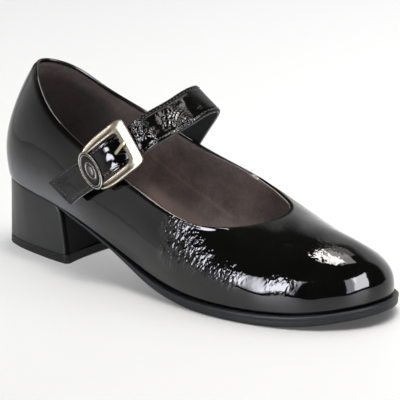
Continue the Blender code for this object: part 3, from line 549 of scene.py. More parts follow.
# The backing's cut edges are painted light grey: a painted highlight along the strap's edges.
STRAP_BACKING = suede("strap_backing_material", (0.016, 0.020, 0.021), (0.028, 0.033, 0.034),
                      cut_edge=(0.42, 0.41, 0.43))
SOLE_RUBBER = rubber("outsole_material", (0.020, 0.0216, 0.0240), 0.42, 0.00003)
HEEL_COVER = rubber("heel_cover_material", (0.016, 0.0175, 0.016), 0.45, 0.00002, coat=0.22,
                    matt_and_shaded_parts=True)
HEEL_RUBBER = rubber("heel_cap_material", (0.008, 0.0084, 0.008), 0.50, 0.00004)
THREAD = rubber("thread_material", (0.012, 0.012, 0.013), 0.30, 0.00002, coat=1.0)
# The frame's dark colour is painted shade; the plate's is the colour of its dark field.
BUCKLE_METAL = metal("buckle_frame_material", (0.42, 0.38, 0.29), 0.32, (0.09, 0.078, 0.055))
PIN_METAL = metal("buckle_pin_material", (0.74, 0.68, 0.54), 0.25)
PRONG_METAL = metal("buckle_prong_material", (0.52, 0.47, 0.29), 0.30)
PLATE_METAL = metal("buckle_plate_material", (0.17, 0.162, 0.138), 0.38,
                    (0.013, 0.0125, 0.0115))


# ---- upper

class Meridians:
    """The upper's outer face, read along each meridian by distance down from the topline."""

    def __init__(self, around):
        self.grid = upper_surface(around, np.linspace(0, 1, DENSE))
        self.normal = outward_normals(self.grid)
        self.rise = np.array([lengths_along(line) for line in self.grid])
        self.length = self.rise[:, -1]
        self.base = seat(self.grid[:, 0, 0])
        self.up = unit(self.grid[:, -1] - self.grid[:, -3])

    def sample(self, depth):
        """Points and outward normals at the given depths (one row of depths per meridian)."""
        rows = self.length[:, None] - depth
        points, normals = (np.array([interpolated(*line) for line in zip(rows, self.rise, table)])
                           for table in (self.grid, self.normal))
        return points, unit(normals)

    def inside(self, depth, inward):
        """Points this far inside the face at the given depths."""
        points, normals = self.sample(depth)
        return points - normals * inward

    def depth_at_height(self, height):
        """Depth below the topline where the face is this far above the feather's level."""
        rise = [np.interp(height, line[:, 2] - base, length)
                for line, base, length in zip(self.grid, self.base, self.rise)]
        return (self.length - rise)[:, None]


MERIDIANS = Meridians(AROUND)

# Where the leather is creased: centre x, y, z, reach x, y, z, strength.
CREASED_SPOTS = [(141, -36, 41, 9, 12, 9, 1.0), (143, -42, 28, 9, 8, 8, 0.95),
                 (150, -38, 34, 9, 12, 9, 1.0), (159, -40, 28, 9, 12, 8, 0.9),
                 (176, -42, 24, 11, 12, 8, 0.8), (208, -34, 24, 7, 12, 6, 0.35),
                 (218, -12, 36, 12, 9, 8, 0.12)]
STRAP_CREASES = [(99, -18, 83, 7, 6, 9, 1.0), (105, -13, 79, 5, 5, 4, 0.6),
                 (109, 1, 85, 8, 7, 9, 0.22)]
STRAP_FURROWS = [(112, 4.5, 84, 7, 6, 8, 1.0)]


def spotted(points, spots):
    """How strongly each point lies in one of the spots, 0 to 1."""
    total = np.zeros(np.shape(points)[:-1])
    for *spot, strength in spots:
        away = (((points - np.array(spot[:3])) / spot[3:]) ** 2).sum(axis=-1)
        total = np.maximum(total, strength * np.exp(-away ** 2))
    return total


def gentle_waves(points):
    """Low unevenness of lasted leather, in mm."""
    x, y, z = np.moveaxis(points, -1, 0)
    waves = (0.09 * np.sin(x / 5.1 + y / 9.0 + 1.3) * np.sin(z / 6.3 + y / 11.0 + 0.4)
             + 0.06 * np.sin(x / 2.9 - z / 4.1 + 2.1) * np.sin(y / 5.3 + 0.7))
    return waves * (0.25 + 0.75 * smooth_step((x - 110) / 50))


WAVE_FADE = (8.0, 6.0)    # the waves fade out over these lengths at the feather and the rim
RIM_DEPTH = 0.9           # the outer face ends this far below the topline and turns over
RIM_RADIUS = 0.8
# How much the folded edge leans in, and over which depth, by the throat and on the quarters.
RIM_SHOULDER = (0.90, 1.20)
RIM_SHOULDER_DEPTH = (3.2, 4.4)
QUARTER_X = (115, 30)     # where the quarters begin, and over which length
FOLD_DEPTH = 3.2          # how far the edge is folded down inside
TUCK = 0.4                # roundness of the lowest edge
# Rings of the lasting margin: inset from the feather line, lift.
MARGIN_RINGS = [(2.4, 1.3), (8.0, 1.2), (8.0, 0.0), (4.0, 0.0)]
PAINTED_REFLECTION_HEIGHT = 22.0       # painted reflection: the quarters are painted lighter below this height, over the heel
PAINTED_REFLECTION_X = (88, 40)
THROAT_ROLL = 1.4         # how far the leather falls away below the edge of the throat
THROAT_ROLL_DEPTH = (5.5, 18.0)
THROAT_ROLL_X = (156, 12)


def behind(x, place):
    """1 well behind a place along the shoe, falling to 0 at it; place is (x, length)."""
    return smooth_step((place[0] - x) / place[1])


def throat_roll(points, depth):
    """The edge beside the throat stands proud and the leather drops below it."""
    middle, reach = THROAT_ROLL_X
    fall, level = THROAT_ROLL_DEPTH
    here = np.exp(-((points[:, :, 0] - middle) / reach) ** 4) * (points[:, :, 1] < -5)
    drop = 0.5 - smooth_step(depth / fall) + 0.5 * smooth_step((depth - fall) / level)
    return THROAT_ROLL * here * drop


def build_upper():
    """Lasted patent shell: outer face, rounded rim, folded edge inside, inner face, margin."""
    m = MERIDIANS
    depth = RIM_DEPTH + (m.length[:, None] - RIM_DEPTH) * np.linspace(1.0, 0.0, 76)
    outer, normal = m.sample(depth)
    height = outer[:, :, 2] - m.base[:, None]
    fade = smooth_step(height / WAVE_FADE[0]) * smooth_step((depth - 1.0) / WAVE_FADE[1])
    quarter = behind(outer[:, :, 0], QUARTER_X)
    lean, reach = (low + (high - low) * quarter
                   for low, high in (RIM_SHOULDER, RIM_SHOULDER_DEPTH))
    shoulder = lean * (1 - np.clip(depth / reach, 0, 1)) ** 2
    offset = gentle_waves(outer) * fade + throat_roll(outer, depth) - shoulder
    outer += normal * offset[:, :, None]
    tuck = TUCK - np.sqrt(TUCK ** 2 - np.clip(TUCK - height, 0, TUCK) ** 2)
    outer[:, :, :2] -= plan_normals(m.grid[:, 0])[:, None] * tuck[:, :, None]
    columns = list(outer.swapaxes(0, 1))
    for turn in np.radians(np.arange(20, 180, 20)):
        columns.append(outer[:, -1] - normal[:, -1] * RIM_RADIUS * (1 - np.cos(turn))
                       + m.up * RIM_DEPTH * np.sin(turn))
    fold = np.tile(np.linspace(RIM_DEPTH, FOLD_DEPTH, 5), (AROUND, 1))
    inner = FOLD_DEPTH + (m.length[:, None] - 2.0 - FOLD_DEPTH) * np.linspace(0, 1, 14)
    for depths, inward in ((fold, WALL), (inner, 1.0)):
        columns += list(m.inside(depths, inward).swapaxes(0, 1))
    for inset, lift in MARGIN_RINGS:
        plan = inset_loop(m.grid[:, 0], inset)
        columns.append(raised(plan, seat(plan[:, 0]) + lift))
    grid = np.stack(columns, axis=1)
    rise = grid[:, :, 2] - m.base[:, None]
    # Painted reflection: the quarters are painted lighter and bluish low down over the heel,
    # standing for the floor's reflection.
    painted_reflection = smooth_step(1 - rise / PAINTED_REFLECTION_HEIGHT) * behind(grid[:, :, 0], PAINTED_REFLECTION_X)
    new_piece("upper_patent", grid, ring_faces(*grid.shape[:2], True), UPPER_PATENT,
              "patent_leather", ["upper"], sharp=60,
              attributes={"creased": spotted(grid, CREASED_SPOTS), "painted_reflection": painted_reflection})


LINING_TOP = 2.7          # depth of the lining's upper edge
LINING_LOW = 3.0          # height of its lower edge
LINING_RIDGE = (0.42, 1.3)  # how far the folded leather pushes it in, and over which width
LINING_FACE = 2.1         # how far inside the outer face the lining lies
LINING_BACK = 1.3
LINING_STEP = 0.35        # how much thicker the lining is below its seam
# Height of the lining's faint seam above the feather's level, by x.
LINING_SEAM = [(60, 28), (78, 26), (101, 23), (111, 22), (130, 17)]
# Painted shade: darker patches of the lining, on its medial side: centre, reach, strength.
LINING_PAINTED_SHADE = [(106, 27, 54, 12, 10, 9, 0.45), (153, 32, 39, 14, 14, 11, 0.40),
               (72, 25, 41, 14, 10, 7, 0.30), (92, 24, 34, 14, 10, 5, 0.30)]


def build_lining():
    m = MERIDIANS
    bottom = m.depth_at_height(LINING_LOW)
    depth = LINING_TOP + (bottom - LINING_TOP) * np.linspace(0, 1, 64) ** 1.15
    face, normal = m.sample(depth)
    x, y, z = np.moveaxis(face, -1, 0)
    height = z - m.base[:, None]
    above = height - along(LINING_SEAM, x)
    push, width = LINING_RIDGE
    ridge = push * np.exp(-((depth - FOLD_DEPTH) / width) ** 2)
    medial = smooth_step(y / 12.0) * smooth_step((x - 60) / 10) * behind(x, (132, 12))
    step = LINING_STEP * (1 - smooth_step(above / 0.9)) * medial
    front = face - normal * (LINING_FACE + ridge + step)[:, :, None]
    # Painted shade: the lining darkens deep inside the heel and in the patches above.
    worn = smooth_step((depth - 6) / 12) * behind(x, (56, 22)) * 0.80
    worn = np.maximum(worn, spotted(face, LINING_PAINTED_SHADE))
    # A pale line along the seam, and painted light: the low medial lining is painted pale, as if
    # lit.
    seam = 0.30 * np.exp(-((above + 0.4) / 0.8) ** 2) * medial
    low = smooth_step((13 - height) / 7) * smooth_step((x - 62) / 14) * behind(x, (118, 14))
    pale = np.maximum(seam, 0.62 * low * (y > 0))
    back = m.inside(bottom + (LINING_TOP - bottom) * np.linspace(0, 1, 20), LINING_BACK)
    top = m.inside(np.full((AROUND, 1), LINING_TOP - 0.08), LINING_FACE + 0.05)
    grid = np.concatenate([front, back, top], axis=1)
    hidden = ((0, 0), (0, grid.shape[1] - front.shape[1]))
    new_piece("upper_lining", grid, ring_faces(*grid.shape[:2], True), LINING_SUEDE,
              "suede_lining", sharp=50,
              attributes={"worn": np.pad(worn, hidden), "pale": np.pad(pale, hidden)})


THROAT_CORD = 0.24        # radius of the pale edge that shows round the throat
THROAT_CORD_PLACE = (1.45, 0.62)  # inwards and up from the rim


def build_throat_edge():
    """A round cord along the throat and the lateral quarter, drawn in at its ends."""
    m = MERIDIANS
    inward, up = THROAT_CORD_PLACE
    path = m.inside(np.full((AROUND, 1), RIM_DEPTH), inward)[:, 0] + m.up * up
    near = np.flatnonzero((path[:, 0] > 138) | ((path[:, 1] < 0) & (path[:, 0] > 28)))
    path = path[near[0]:near[-1] + 1]
    step = unit(np.gradient(path, axis=0))
    side = unit(np.cross(step, (0.0, 0.0, 1.0)))
    size = np.full((len(path), 1, 1), THROAT_CORD)
    size[[0, -1]] *= 0.3
    turn = np.radians(np.arange(8) * 45.0)[:, None]
    ring = side[:, None] * np.cos(turn) + np.cross(side, step)[:, None] * np.sin(turn)
    tube_piece("throat_edge", path[:, None] + ring * size, EDGE_SUEDE, "suede_lining", sharp=60)


INSOLE_RISE = 4.15        # top of the insole above the upper's underside
INSOLE_UNDER = 2.1
FOOTBED_CROWN = 1.3
FOOTBED_ROLL = 0.9        # how far its edge is rolled down


def build_footbed():
    """Padded suede sock: crowned in the middle, rolled down at its edge."""
    m = MERIDIANS
    loop = m.inside(m.depth_at_height(INSOLE_RISE), LINING_FACE + 0.25)[:, 0, :2]
    rows = np.arange(3, AROUND // 2 - 2)
    left, right = loop[rows], loop[AROUND - rows]
    columns = (1 - np.cos(np.linspace(0, np.pi, 56))) / 2
    plan = left[:, None] + (right - left)[:, None] * columns[None, :, None]
    reach = np.array([[np.linalg.norm(loop - spot, axis=1).min() for spot in line]
                      for line in plan])
    x, y = plan[:, :, 0], plan[:, :, 1]
    roll = -FOOTBED_ROLL * (1 - smooth_step(reach / 1.8))
    crown = FOOTBED_CROWN * smooth_step(reach / 14.0)
    wear = 0.12 * np.sin(x / 7.0 + 0.5) * np.sin(y / 6.0) * smooth_step(reach / 8.0)
    top = np.dstack([plan, seat(x) + INSOLE_RISE + roll + crown + wear])
    under = np.dstack([plan, seat(x) + INSOLE_UNDER])
    piece = new_piece("footbed", np.stack([top, under]), sheet_faces(*x.shape), SOCK_SUEDE,
                      "suede_lining", ["insole"], sharp=50)


def build_outsole():
    feather = MERIDIANS.grid[:, 0]
    edge = inset_loop(feather, -along(SOLE_MARGIN, feather[:, 0]))
    thickness = sole_top(edge[:, 0]) - sole_floor(edge[:, 0])
    rings = []
    for inset, share in SOLE_SIDE:
        plan = inset_loop(edge, inset * np.minimum(thickness / 5.5, 1.0))
        low, high = sole_floor(plan[:, 0]), sole_top(plan[:, 0])
        rings.append(raised(plan, low + (high - low) * share))
    new_piece("outsole_rubber", *stack_mesh(rings, sole_floor, sole_top, 24), SOLE_RUBBER,
              "sole_rubber", ["outsole"], sharp=50)


# ---- heel

HEEL_SIDE_POINTS = 61
HEEL_FRONT_POINTS = 41
HEEL_CORNER_REACH = 2.2   # the upright front edges are rounded over this distance
HEEL_CORNER_PASSES = 10
HEEL_SEAM = 0.06          # the seam seen between heel and top piece
BLOCK_GAP = 0.05          # between the heel block and the sole
LIP_RISE = 1.1            # the heel cover climbs this far past the sole's underside
LIP_X, LIP_LENGTH = 54, 8
BLOCK_BEVEL = 0.3
CAP_BEVELS = (0.4, 0.2)   # at the ground and at the seam
BLOCK_SHARES = [0, 0.008, 0.018, 0.03, *np.linspace(0.06, 0.94, 22), 0.97, 0.982, 0.992, 1.0]
CAP_SHARES = (0, 0.02, 0.05, 0.1, 0.15, 0.3, 0.5, 0.7, 0.85, 0.94, 0.98, 1.0)


def resample(line, count):
    """Even points along an open polyline, ends included."""
    length = lengths_along(line)
    return interpolated(np.linspace(0, length[-1], count), length, line)


def heel_plan(rise, inset):
    """D-shaped plan at a share of the heel's height: back, lateral side, front, medial side."""
    feather = MERIDIANS.grid[:, 0]
    table = np.array(HEEL_INSET, float)
    at_seat, at_ground = spline(table[:, 0], table[:, 1:], feather[:, 0]).T
    plan = inset_loop(feather, at_ground + (at_seat - at_ground) * rise + inset)
    front_x = along(HEEL_FRONT, rise) - inset
    half = len(plan) // 2
    sides = []
    for side in (plan[:half], np.vstack([plan[:1], plan[:half:-1]])):
        stop = int(np.argmin(side[:, 0] < front_x))
        y = np.interp(front_x, side[stop - 1:stop + 1, 0], side[stop - 1:stop + 1, 1])
        sides.append(resample(np.vstack([side[:stop], [(front_x, y)]]), HEEL_SIDE_POINTS))
    lateral, medial = sides[0], sides[1][::-1]
    share = np.linspace(0, 1, HEEL_FRONT_POINTS + 2)[1:-1]
    front = lateral[-1] + (medial[0] - lateral[-1]) * share[:, None]
    front[:, 0] -= HEEL_BOW * (1 - (2 * share - 1) ** 2)
    loop = np.vstack([lateral, front, medial[:-1]])
    corners = loop[[HEEL_SIDE_POINTS - 1, HEEL_SIDE_POINTS + HEEL_FRONT_POINTS]]
    away = np.linalg.norm(loop[:, None] - corners[None], axis=2).min(axis=1)
    loose = np.clip(1 - away / HEEL_CORNER_REACH, 0, 1)[:, None]
    for _ in range(HEEL_CORNER_PASSES):
        middle = (np.roll(loop, 1, axis=0) + np.roll(loop, -1, axis=0)) / 2
        loop = loop + (middle - loop) * loose * 0.8
    return loop


def build_heel():
    base = TOP_PIECE_HEIGHT + HEEL_SEAM
    front = slice(HEEL_SIDE_POINTS - 1, HEEL_SIDE_POINTS + HEEL_FRONT_POINTS + 1)
    rings, matt_and_painted_shade = [], []
    for share in BLOCK_SHARES:
        rise = (base + (HEEL_HEIGHT - base) * share) / HEEL_HEIGHT
        plan = heel_plan(rise, BLOCK_BEVEL * (1 - smooth_step(min(share, 1 - share) / 0.025)))
        x = plan[:, 0]
        cover = np.clip((LIP_X - x) / LIP_LENGTH, 0, 1) * LIP_RISE
        top = sole_floor(x) - BLOCK_GAP + cover
        rings.append(raised(plan, base + (top - base) * share))
        matt_and_painted_shade.append(np.zeros(len(plan)))
        # The heel's front face is marked dull and painted dark: painted shade under the arch.
        matt_and_painted_shade[-1][front] = 1.0
    points, faces = stack_mesh(rings, lambda x: base, lambda x: sole_floor(x) - 0.3,
                               HEEL_FRONT_POINTS + 1, HEEL_FRONT_POINTS)
    matt_and_painted_shade = np.concatenate(matt_and_painted_shade)
    new_piece("heel_shell", points, faces, HEEL_COVER, "heel_lacquer", ["heel_block"], sharp=50,
              attributes={"matt_and_painted_shade": np.pad(matt_and_painted_shade, (0, len(points) - len(matt_and_painted_shade)))})
    rings = []
    low_round, high_round = CAP_BEVELS
    for share in CAP_SHARES:
        height = TOP_PIECE_HEIGHT * share
        bevel = (low_round * (1 - smooth_step(share / 0.12))
                 + high_round * smooth_step((share - 0.95) / 0.05))
        rings.append(raised(heel_plan(height / HEEL_HEIGHT, bevel), height))
    cap = stack_mesh(rings, lambda x: 0.0, lambda x: TOP_PIECE_HEIGHT, HEEL_FRONT_POINTS + 1,
                     HEEL_FRONT_POINTS)
    new_piece("heel_cap", *cap, HEEL_RUBBER, "sole_rubber", ["heel_top_piece"], sharp=50)


# ---- strap

WALL_SURFACE = upper_surface(240, np.linspace(0, 1, 40))
QUARTERS = {-1: WALL_SURFACE[18:100], 1: WALL_SURFACE[140:222][::-1]}


def quarter_y(side, x, z):
    """y of the upper's outer face at (x, z); side is -1 for lateral and +1 for medial."""
    result = []
    for px, pz in zip(np.ravel(x), np.ravel(z)):
        line = np.array([interpolated(pz, row[:, 2], row[:, :2]) for row in QUARTERS[side]])
        result.append(np.interp(px, *line.T))
    return np.array(result).reshape(np.shape(x))


OUT = unit(BUCKLE_OUT)
UP_STRAP = unit(BUCKLE_ALONG - OUT * np.dot(BUCKLE_ALONG, OUT))
ACROSS = np.cross(UP_STRAP, OUT)


def buckle_point(t, w, n):
    """Table points from numbers or arrays along the buckle's axes."""
    return (np.array(BUCKLE_CENTRE) + np.multiply.outer(t, UP_STRAP)
            + np.multiply.outer(w, ACROSS) + np.multiply.outer(n, OUT))


class Strap:
    """The strap's middle face, as a function of row and of the share of its half width."""

    def __init__(self):
        rows = [(row[1:4], row[4:7], row[7]) for row in STRAP_ARCH]
        rows += [(buckle_point(*row[1:4]), ACROSS, row[4]) for row in STRAP_BUCKLE]
        spots, crosses, halves = (np.array(column, float) for column in zip(*rows))
        knots = lengths_along(spots)
        steps = [row[-1] * STRAP_FINE for row in STRAP_ARCH + STRAP_BUCKLE]
        self.at = np.array([start + (end - start) * i / count for start, end, count
                            in zip(knots, knots[1:], steps) for i in range(count)]
                           + [knots[-1]])
        self.rows = np.arange(len(self.at)) / STRAP_FINE
        self.centres = spline(knots, spots, self.at)
        crosses = unit(spline(knots, crosses, self.at))
        self.tangents = unit(np.gradient(self.centres, axis=0))
        along_part = np.sum(self.tangents * crosses, axis=1, keepdims=True)
        self.crosses = unit(crosses - self.tangents * along_part)
        self.halves = np.interp(self.at, knots, halves)
        self.outs = np.cross(self.tangents, self.crosses)
        self.t = (self.centres - BUCKLE_CENTRE) @ UP_STRAP
        n = (self.centres - BUCKLE_CENTRE) @ OUT
        self.tail = np.clip((-18.0 - self.t) / 20.0, 0, 1) * (n < 3)
        self.find_shift()

    def place(self, share, lift):
        """Points at shares of the half width and lifts off the middle face (arrays)."""
        skew = TAIL_SKEW * (share + 1) / 2
        points = (self.centres[:, None]
                  + self.crosses[:, None] * (self.halves[:, None] * share)[:, :, None]
                  + self.outs[:, None] * (np.zeros_like(share) + lift)[:, None])
        return points - self.tangents[:, None] * (self.tail[:, None] * skew)[:, :, None]

    def find_shift(self):
        """How far the sewn end and the tail move in y to lie on the quarters."""
        self.shares = np.linspace(-1, 1, 7)
        inner = self.place(self.shares, -STRAP_THICKNESS / 2)
        self.shift = np.zeros(inner.shape[:2])
        for side, near in ((1, self.rows < STRAP_SEWN_SHARE), (-1, self.tail > 0)):
            band = inner[near]
            rows = np.arange(len(band))
            found = quarter_y(side, band[::3, :, 0], band[::3, :, 2])
            shift = interpolated(rows, rows[::3], found) + side * (GAP + 0.1) - band[:, :, 1]
            hold = np.clip((STRAP_SEWN_SHARE - self.rows[near]) / 5.0, 0, 1)[:, None]
            self.shift[near] = shift * hold if side > 0 else np.minimum(shift, 0)

    def surface(self, share, lift):
        """As place(), moved onto the quarters."""
        points = self.place(share, lift)
        points[:, :, 1] += [np.interp(share, self.shares, row) for row in self.shift]
        return points


STRAP = Strap()
STRAP_HALF = float(np.mean(STRAP.halves))
STRAP_TOP = STRAP_THICKNESS / 2
STRAP_ROUND = 0.55        # radius of its turned edges
STRAP_GROOVE = (1.9, 0.45, 0.30)  # the stitching's groove: distance from the edge, width, depth
SWELL = 0.10              # low unevenness of its face
RIPPLE = 0.16             # unevenness where the strap bends down inside the buckle
RIPPLE_T = 0.2
RIPPLE_REACH = 4.5
RIPPLE_TURN = 0.7         # how fast it turns along the strap
RIPPLE_PITCH = 6.2        # and across it
BEND_ROW = 40             # the row of the bend, where the ripple starts


def strap_edge():
    """Section of the turned edge from the face down: distance from the edge, lift."""
    place, width, depth = STRAP_GROOVE
    spots = [(inset, STRAP_TOP - depth * np.exp(-((inset - place) / width) ** 2))
             for inset in (6.0, 3.4, 2.6, 2.2, 1.8, 1.4, 0.9)]
    spots += [(STRAP_ROUND * (1 - np.cos(turn)), STRAP_TOP - STRAP_ROUND * (1 - np.sin(turn)))
              for turn in np.radians((65, 45, 25, 5, -20, -50))]
    return spots + [(0.5, BACKING - STRAP_TOP)]


def build_strap():
    toe_side = [(1 - inset / STRAP_HALF, lift) for inset, lift in strap_edge()]
    heel_side = [(-share, lift) for share, lift in toe_side[::-1]]
    middle = [(share, STRAP_TOP) for share in np.linspace(-0.6, 0.6, 25)]
    low = [(share, BACKING - STRAP_TOP) for share in np.linspace(0.85, -0.85, 7)]
    shares, lifts = np.array(middle + toe_side + low + heel_side).T
    grid = STRAP.surface(shares, lifts)
    swell = SWELL * np.sin(STRAP.at / 3.1)[:, None] * np.sin(shares * 2.4 + 0.4)
    past = STRAP.t - RIPPLE_T
    here = np.exp(-(past / RIPPLE_REACH) ** 4) * (STRAP.rows > BEND_ROW)
    ripple = RIPPLE * (here * np.sin(past * RIPPLE_TURN))[:, None]
    swell = swell + ripple * np.sin(shares * STRAP_HALF * 2 * np.pi / RIPPLE_PITCH)
    face = slice(len(middle) + 4)
    grid[:, face] += STRAP.outs[:, None] * swell[:, face, None]
    tube_piece("strap_leather", grid, STRAP_PATENT, "patent_leather", ["strap"], sharp=55,
               attributes={"creased": spotted(grid, STRAP_CREASES),
                           "furrowed": spotted(grid, STRAP_FURROWS)})
    across, edge = np.linspace(-0.97, 0.97, 9), 1.0 + 0.12 / STRAP_HALF
    top, bottom = BACKING - STRAP_TOP - 0.02, -STRAP_TOP
    shares = np.array([*across, edge, edge, *across[::-1], -edge, -edge])
    lifts = np.array([top] * 9 + [top - 0.1, bottom + 0.1] + [bottom] * 9
                     + [bottom + 0.1, top - 0.1])
    # Painted highlight: the cut edges are marked for their light grey colour.
    cut = np.tile(np.abs(shares) >= 1.0, (len(STRAP.at), 1))
    tube_piece("strap_backing", STRAP.surface(shares, lifts), STRAP_BACKING, "patent_leather",
               attributes={"cut_edge": cut})


STITCH_PITCH = 2.5
STITCH_LENGTH = 1.8
STITCH_RADIUS = 0.27
STITCH_FROM_EDGE = 1.6
STITCH_LIFT = STRAP_TOP - 0.10
# One stitch: share of the length, size, lift.
STITCH_SHAPE = [(0.00, 0.35, -0.26), (0.15, 0.85, -0.04), (0.35, 1.00, 0.08),
                (0.65, 1.00, 0.08), (0.85, 0.85, -0.04), (1.00, 0.35, -0.26)]
END_ROW = -8              # the row of the strap that its last stitches run across


def stitch_line(path, ups):
    """Short capped threads end to end along a path: stitches by rings by points."""
    length = lengths_along(path)
    share, size, lift = np.array(STITCH_SHAPE).T[:, :, None, None]
    starts = np.arange(0, length[-1] - STITCH_LENGTH, STITCH_PITCH)
    at = starts[:, None, None] + share[:, :, 0] * STITCH_LENGTH
    spot, up, ahead = (interpolated(place, length, table) for place, table in
                       ((at, path), (at, ups), (at + 0.05, path)))
    side = unit(np.cross(unit(ahead - spot), up))
    turn = np.radians(np.arange(0, 360, 45))[:, None]
    ring = side * np.cos(turn) + up * np.sin(turn)
    return spot + up * lift + ring * STITCH_RADIUS * size


def build_stitching():
    """Thread along both edges of the strap and across its free end."""
    share = 1 - STITCH_FROM_EDGE / STRAP_HALF
    rows = slice(8, END_ROW + 1)
    end = STRAP.surface(np.linspace(-share, share, 24), STITCH_LIFT)[END_ROW]
    lines = [(STRAP.surface(np.array([side]), STITCH_LIFT)[rows, 0], STRAP.outs[rows])
             for side in (-share, share)] + [(end, np.tile(STRAP.outs[END_ROW], (24, 1)))]
    stitches = np.concatenate([stitch_line(*line) for line in lines])
    count, rings, around = stitches.shape[:3]
    faces = [[k * rings * around + v for v in face] for k in range(count)
             for face in tube_faces(rings, around)]
    new_piece("strap_stitching", stitches, faces, THREAD, "patent_leather", sharp=60)


# ---- buckle

FRAME_BAR_END = 15.8
FRAME_HALF_WIDTH = 14.7
FRAME_BULGE_T = 2.0
FRAME_OPEN_END = -18.8
FRAME_CORNERS = (3.2, 8.0)
WINDOW_T = -6.0
WINDOW_HALF = (14.6, 9.5)
WINDOW_CORNERS = (9.0, 9.0)
FRAME_OPEN_ANGLE = 141.0
FRAME_DEPTH = 1.1
FRAME_LUG_DEPTH = 3.8
# From the window to the outside: share of the width, heights of the side bars and the outer
# bar, then how dark each is painted there, as painted shade.
FRAME_SECTION = [(0.00, -0.20, -0.20, 0.8, 0.8), (0.00, 0.30, 0.20, 0.7, 0.8),
                 (0.04, 0.62, 0.52, 0.3, 0.7), (0.11, 0.82, 0.78, 0.0, 0.4),
                 (0.19, 0.84, 0.98, 0.0, 0.4), (0.27, 0.70, 1.14, 0.4, 0.5),
                 (0.35, 0.46, 1.26, 0.9, 0.4), (0.43, 0.34, 1.25, 1.0, 0.1),
                 (0.50, 0.33, 1.13, 1.0, 0.0), (0.58, 0.40, 0.97, 0.9, 0.0),
                 (0.68, 0.64, 0.76, 0.4, 0.0), (0.78, 0.90, 0.54, 0.0, 0.0),
                 (0.86, 0.96, 0.36, 0.0, 0.0), (0.93, 0.80, 0.17, 0.1, 0.1),
                 (0.98, 0.46, -0.04, 0.6, 0.6), (1.00, 0.10, -0.30, 0.9, 0.9)]


def ray_reach(angle, centre, half_lengths, half_width, powers):
    """Distance from the origin along each ray to a rounded rectangle, found by halving."""
    low, high = np.zeros(len(angle)), np.full(len(angle), 60.0)
    for _ in range(40):
        middle = (low + high) / 2
        t, w = middle * np.cos(angle) - centre, middle * np.sin(angle)
        half, power = (np.where(t > 0, *pair[::-1]) for pair in (half_lengths, powers))
        inside = np.abs(t / half) ** power + np.abs(w / half_width) ** power < 1
        low, high = np.where(inside, middle, low), np.where(inside, high, middle)
    return low


def build_buckle_frame():
    angle = np.radians(np.linspace(-FRAME_OPEN_ANGLE, FRAME_OPEN_ANGLE, 221))
    far = ray_reach(angle, FRAME_BULGE_T,
                    (FRAME_BULGE_T - FRAME_OPEN_END, FRAME_BAR_END - FRAME_BULGE_T),
                    FRAME_HALF_WIDTH, FRAME_CORNERS)
    window, half = WINDOW_HALF
    near = ray_reach(angle, WINDOW_T, (window, window), half, WINDOW_CORNERS)
    t_mid = (far + near) / 2 * np.cos(angle)
    bar = smooth_step((t_mid - 5.0) / 6.0)
    lug = np.exp(-((t_mid - PIN_T) / 2.6) ** 2)
    low = -FRAME_DEPTH - (FRAME_LUG_DEPTH - FRAME_DEPTH) * lug
    # Painted shade: the frame darkens at its edges, in the side bars' grooves, on the outer bar's
    # inner slope and underneath.
    spots = [(share, side + (top + 0.2 - side) * bar, side_painted_shade + (bar_painted_shade - side_painted_shade) * bar)
             for share, side, top, side_painted_shade, bar_painted_shade in FRAME_SECTION]
    spots += [(share, low, np.ones(len(bar))) for share in (0.97, 0.03)]
    grid = []
    for share, height, _ in spots:
        reach = near + (far - near) * share
        grid.append(buckle_point(np.cos(angle) * reach, np.sin(angle) * reach, height))
    tube_piece("buckle_frame_plated", np.stack(grid, axis=1), BUCKLE_METAL, "champagne_metal",
               ["buckle_frame"], sharp=50,
               attributes={"dark_field_and_painted_shade": np.stack([dark for *_, dark in spots], axis=1)})


PIN_HALF_LENGTH = 9.1
# The pin and its rounded ends: share of the half length, size.
PIN_SECTION = [(-1.0, 0.75), (-0.97, 0.97), (-0.93, 1.0), (0.93, 1.0), (0.97, 0.97), (1.0, 0.75)]


def build_pin():
    turn = np.radians(np.arange(0, 360, 15))
    rings = [buckle_point(PIN_T + PIN_RADIUS * size * np.cos(turn), PIN_HALF_LENGTH * share,
                          PIN_N + PIN_RADIUS * size * np.sin(turn)) for share, size in PIN_SECTION]
    tube_piece("buckle_pin_rod", rings, PIN_METAL, "champagne_metal", ["buckle_pin"])


TAB_HALF_WIDTH = 6.5
TAB_THICKNESS = 0.6
TAB_PIN_GAP = 0.28
TAB_NOTCH_HALF = 1.8
TAB_END_T = -23.0
TAB_LOOP_LEAD = 3.0
TAB_LOOP_TURN = (-110, 120)
TAB_LAYER_GAP = 0.15
TAB_CLEARANCE = 0.85
TAB_FLAT_ROWS = 12
TAB_LOOP_STEPS = 28
TAB_SIDE_COLUMNS = 7


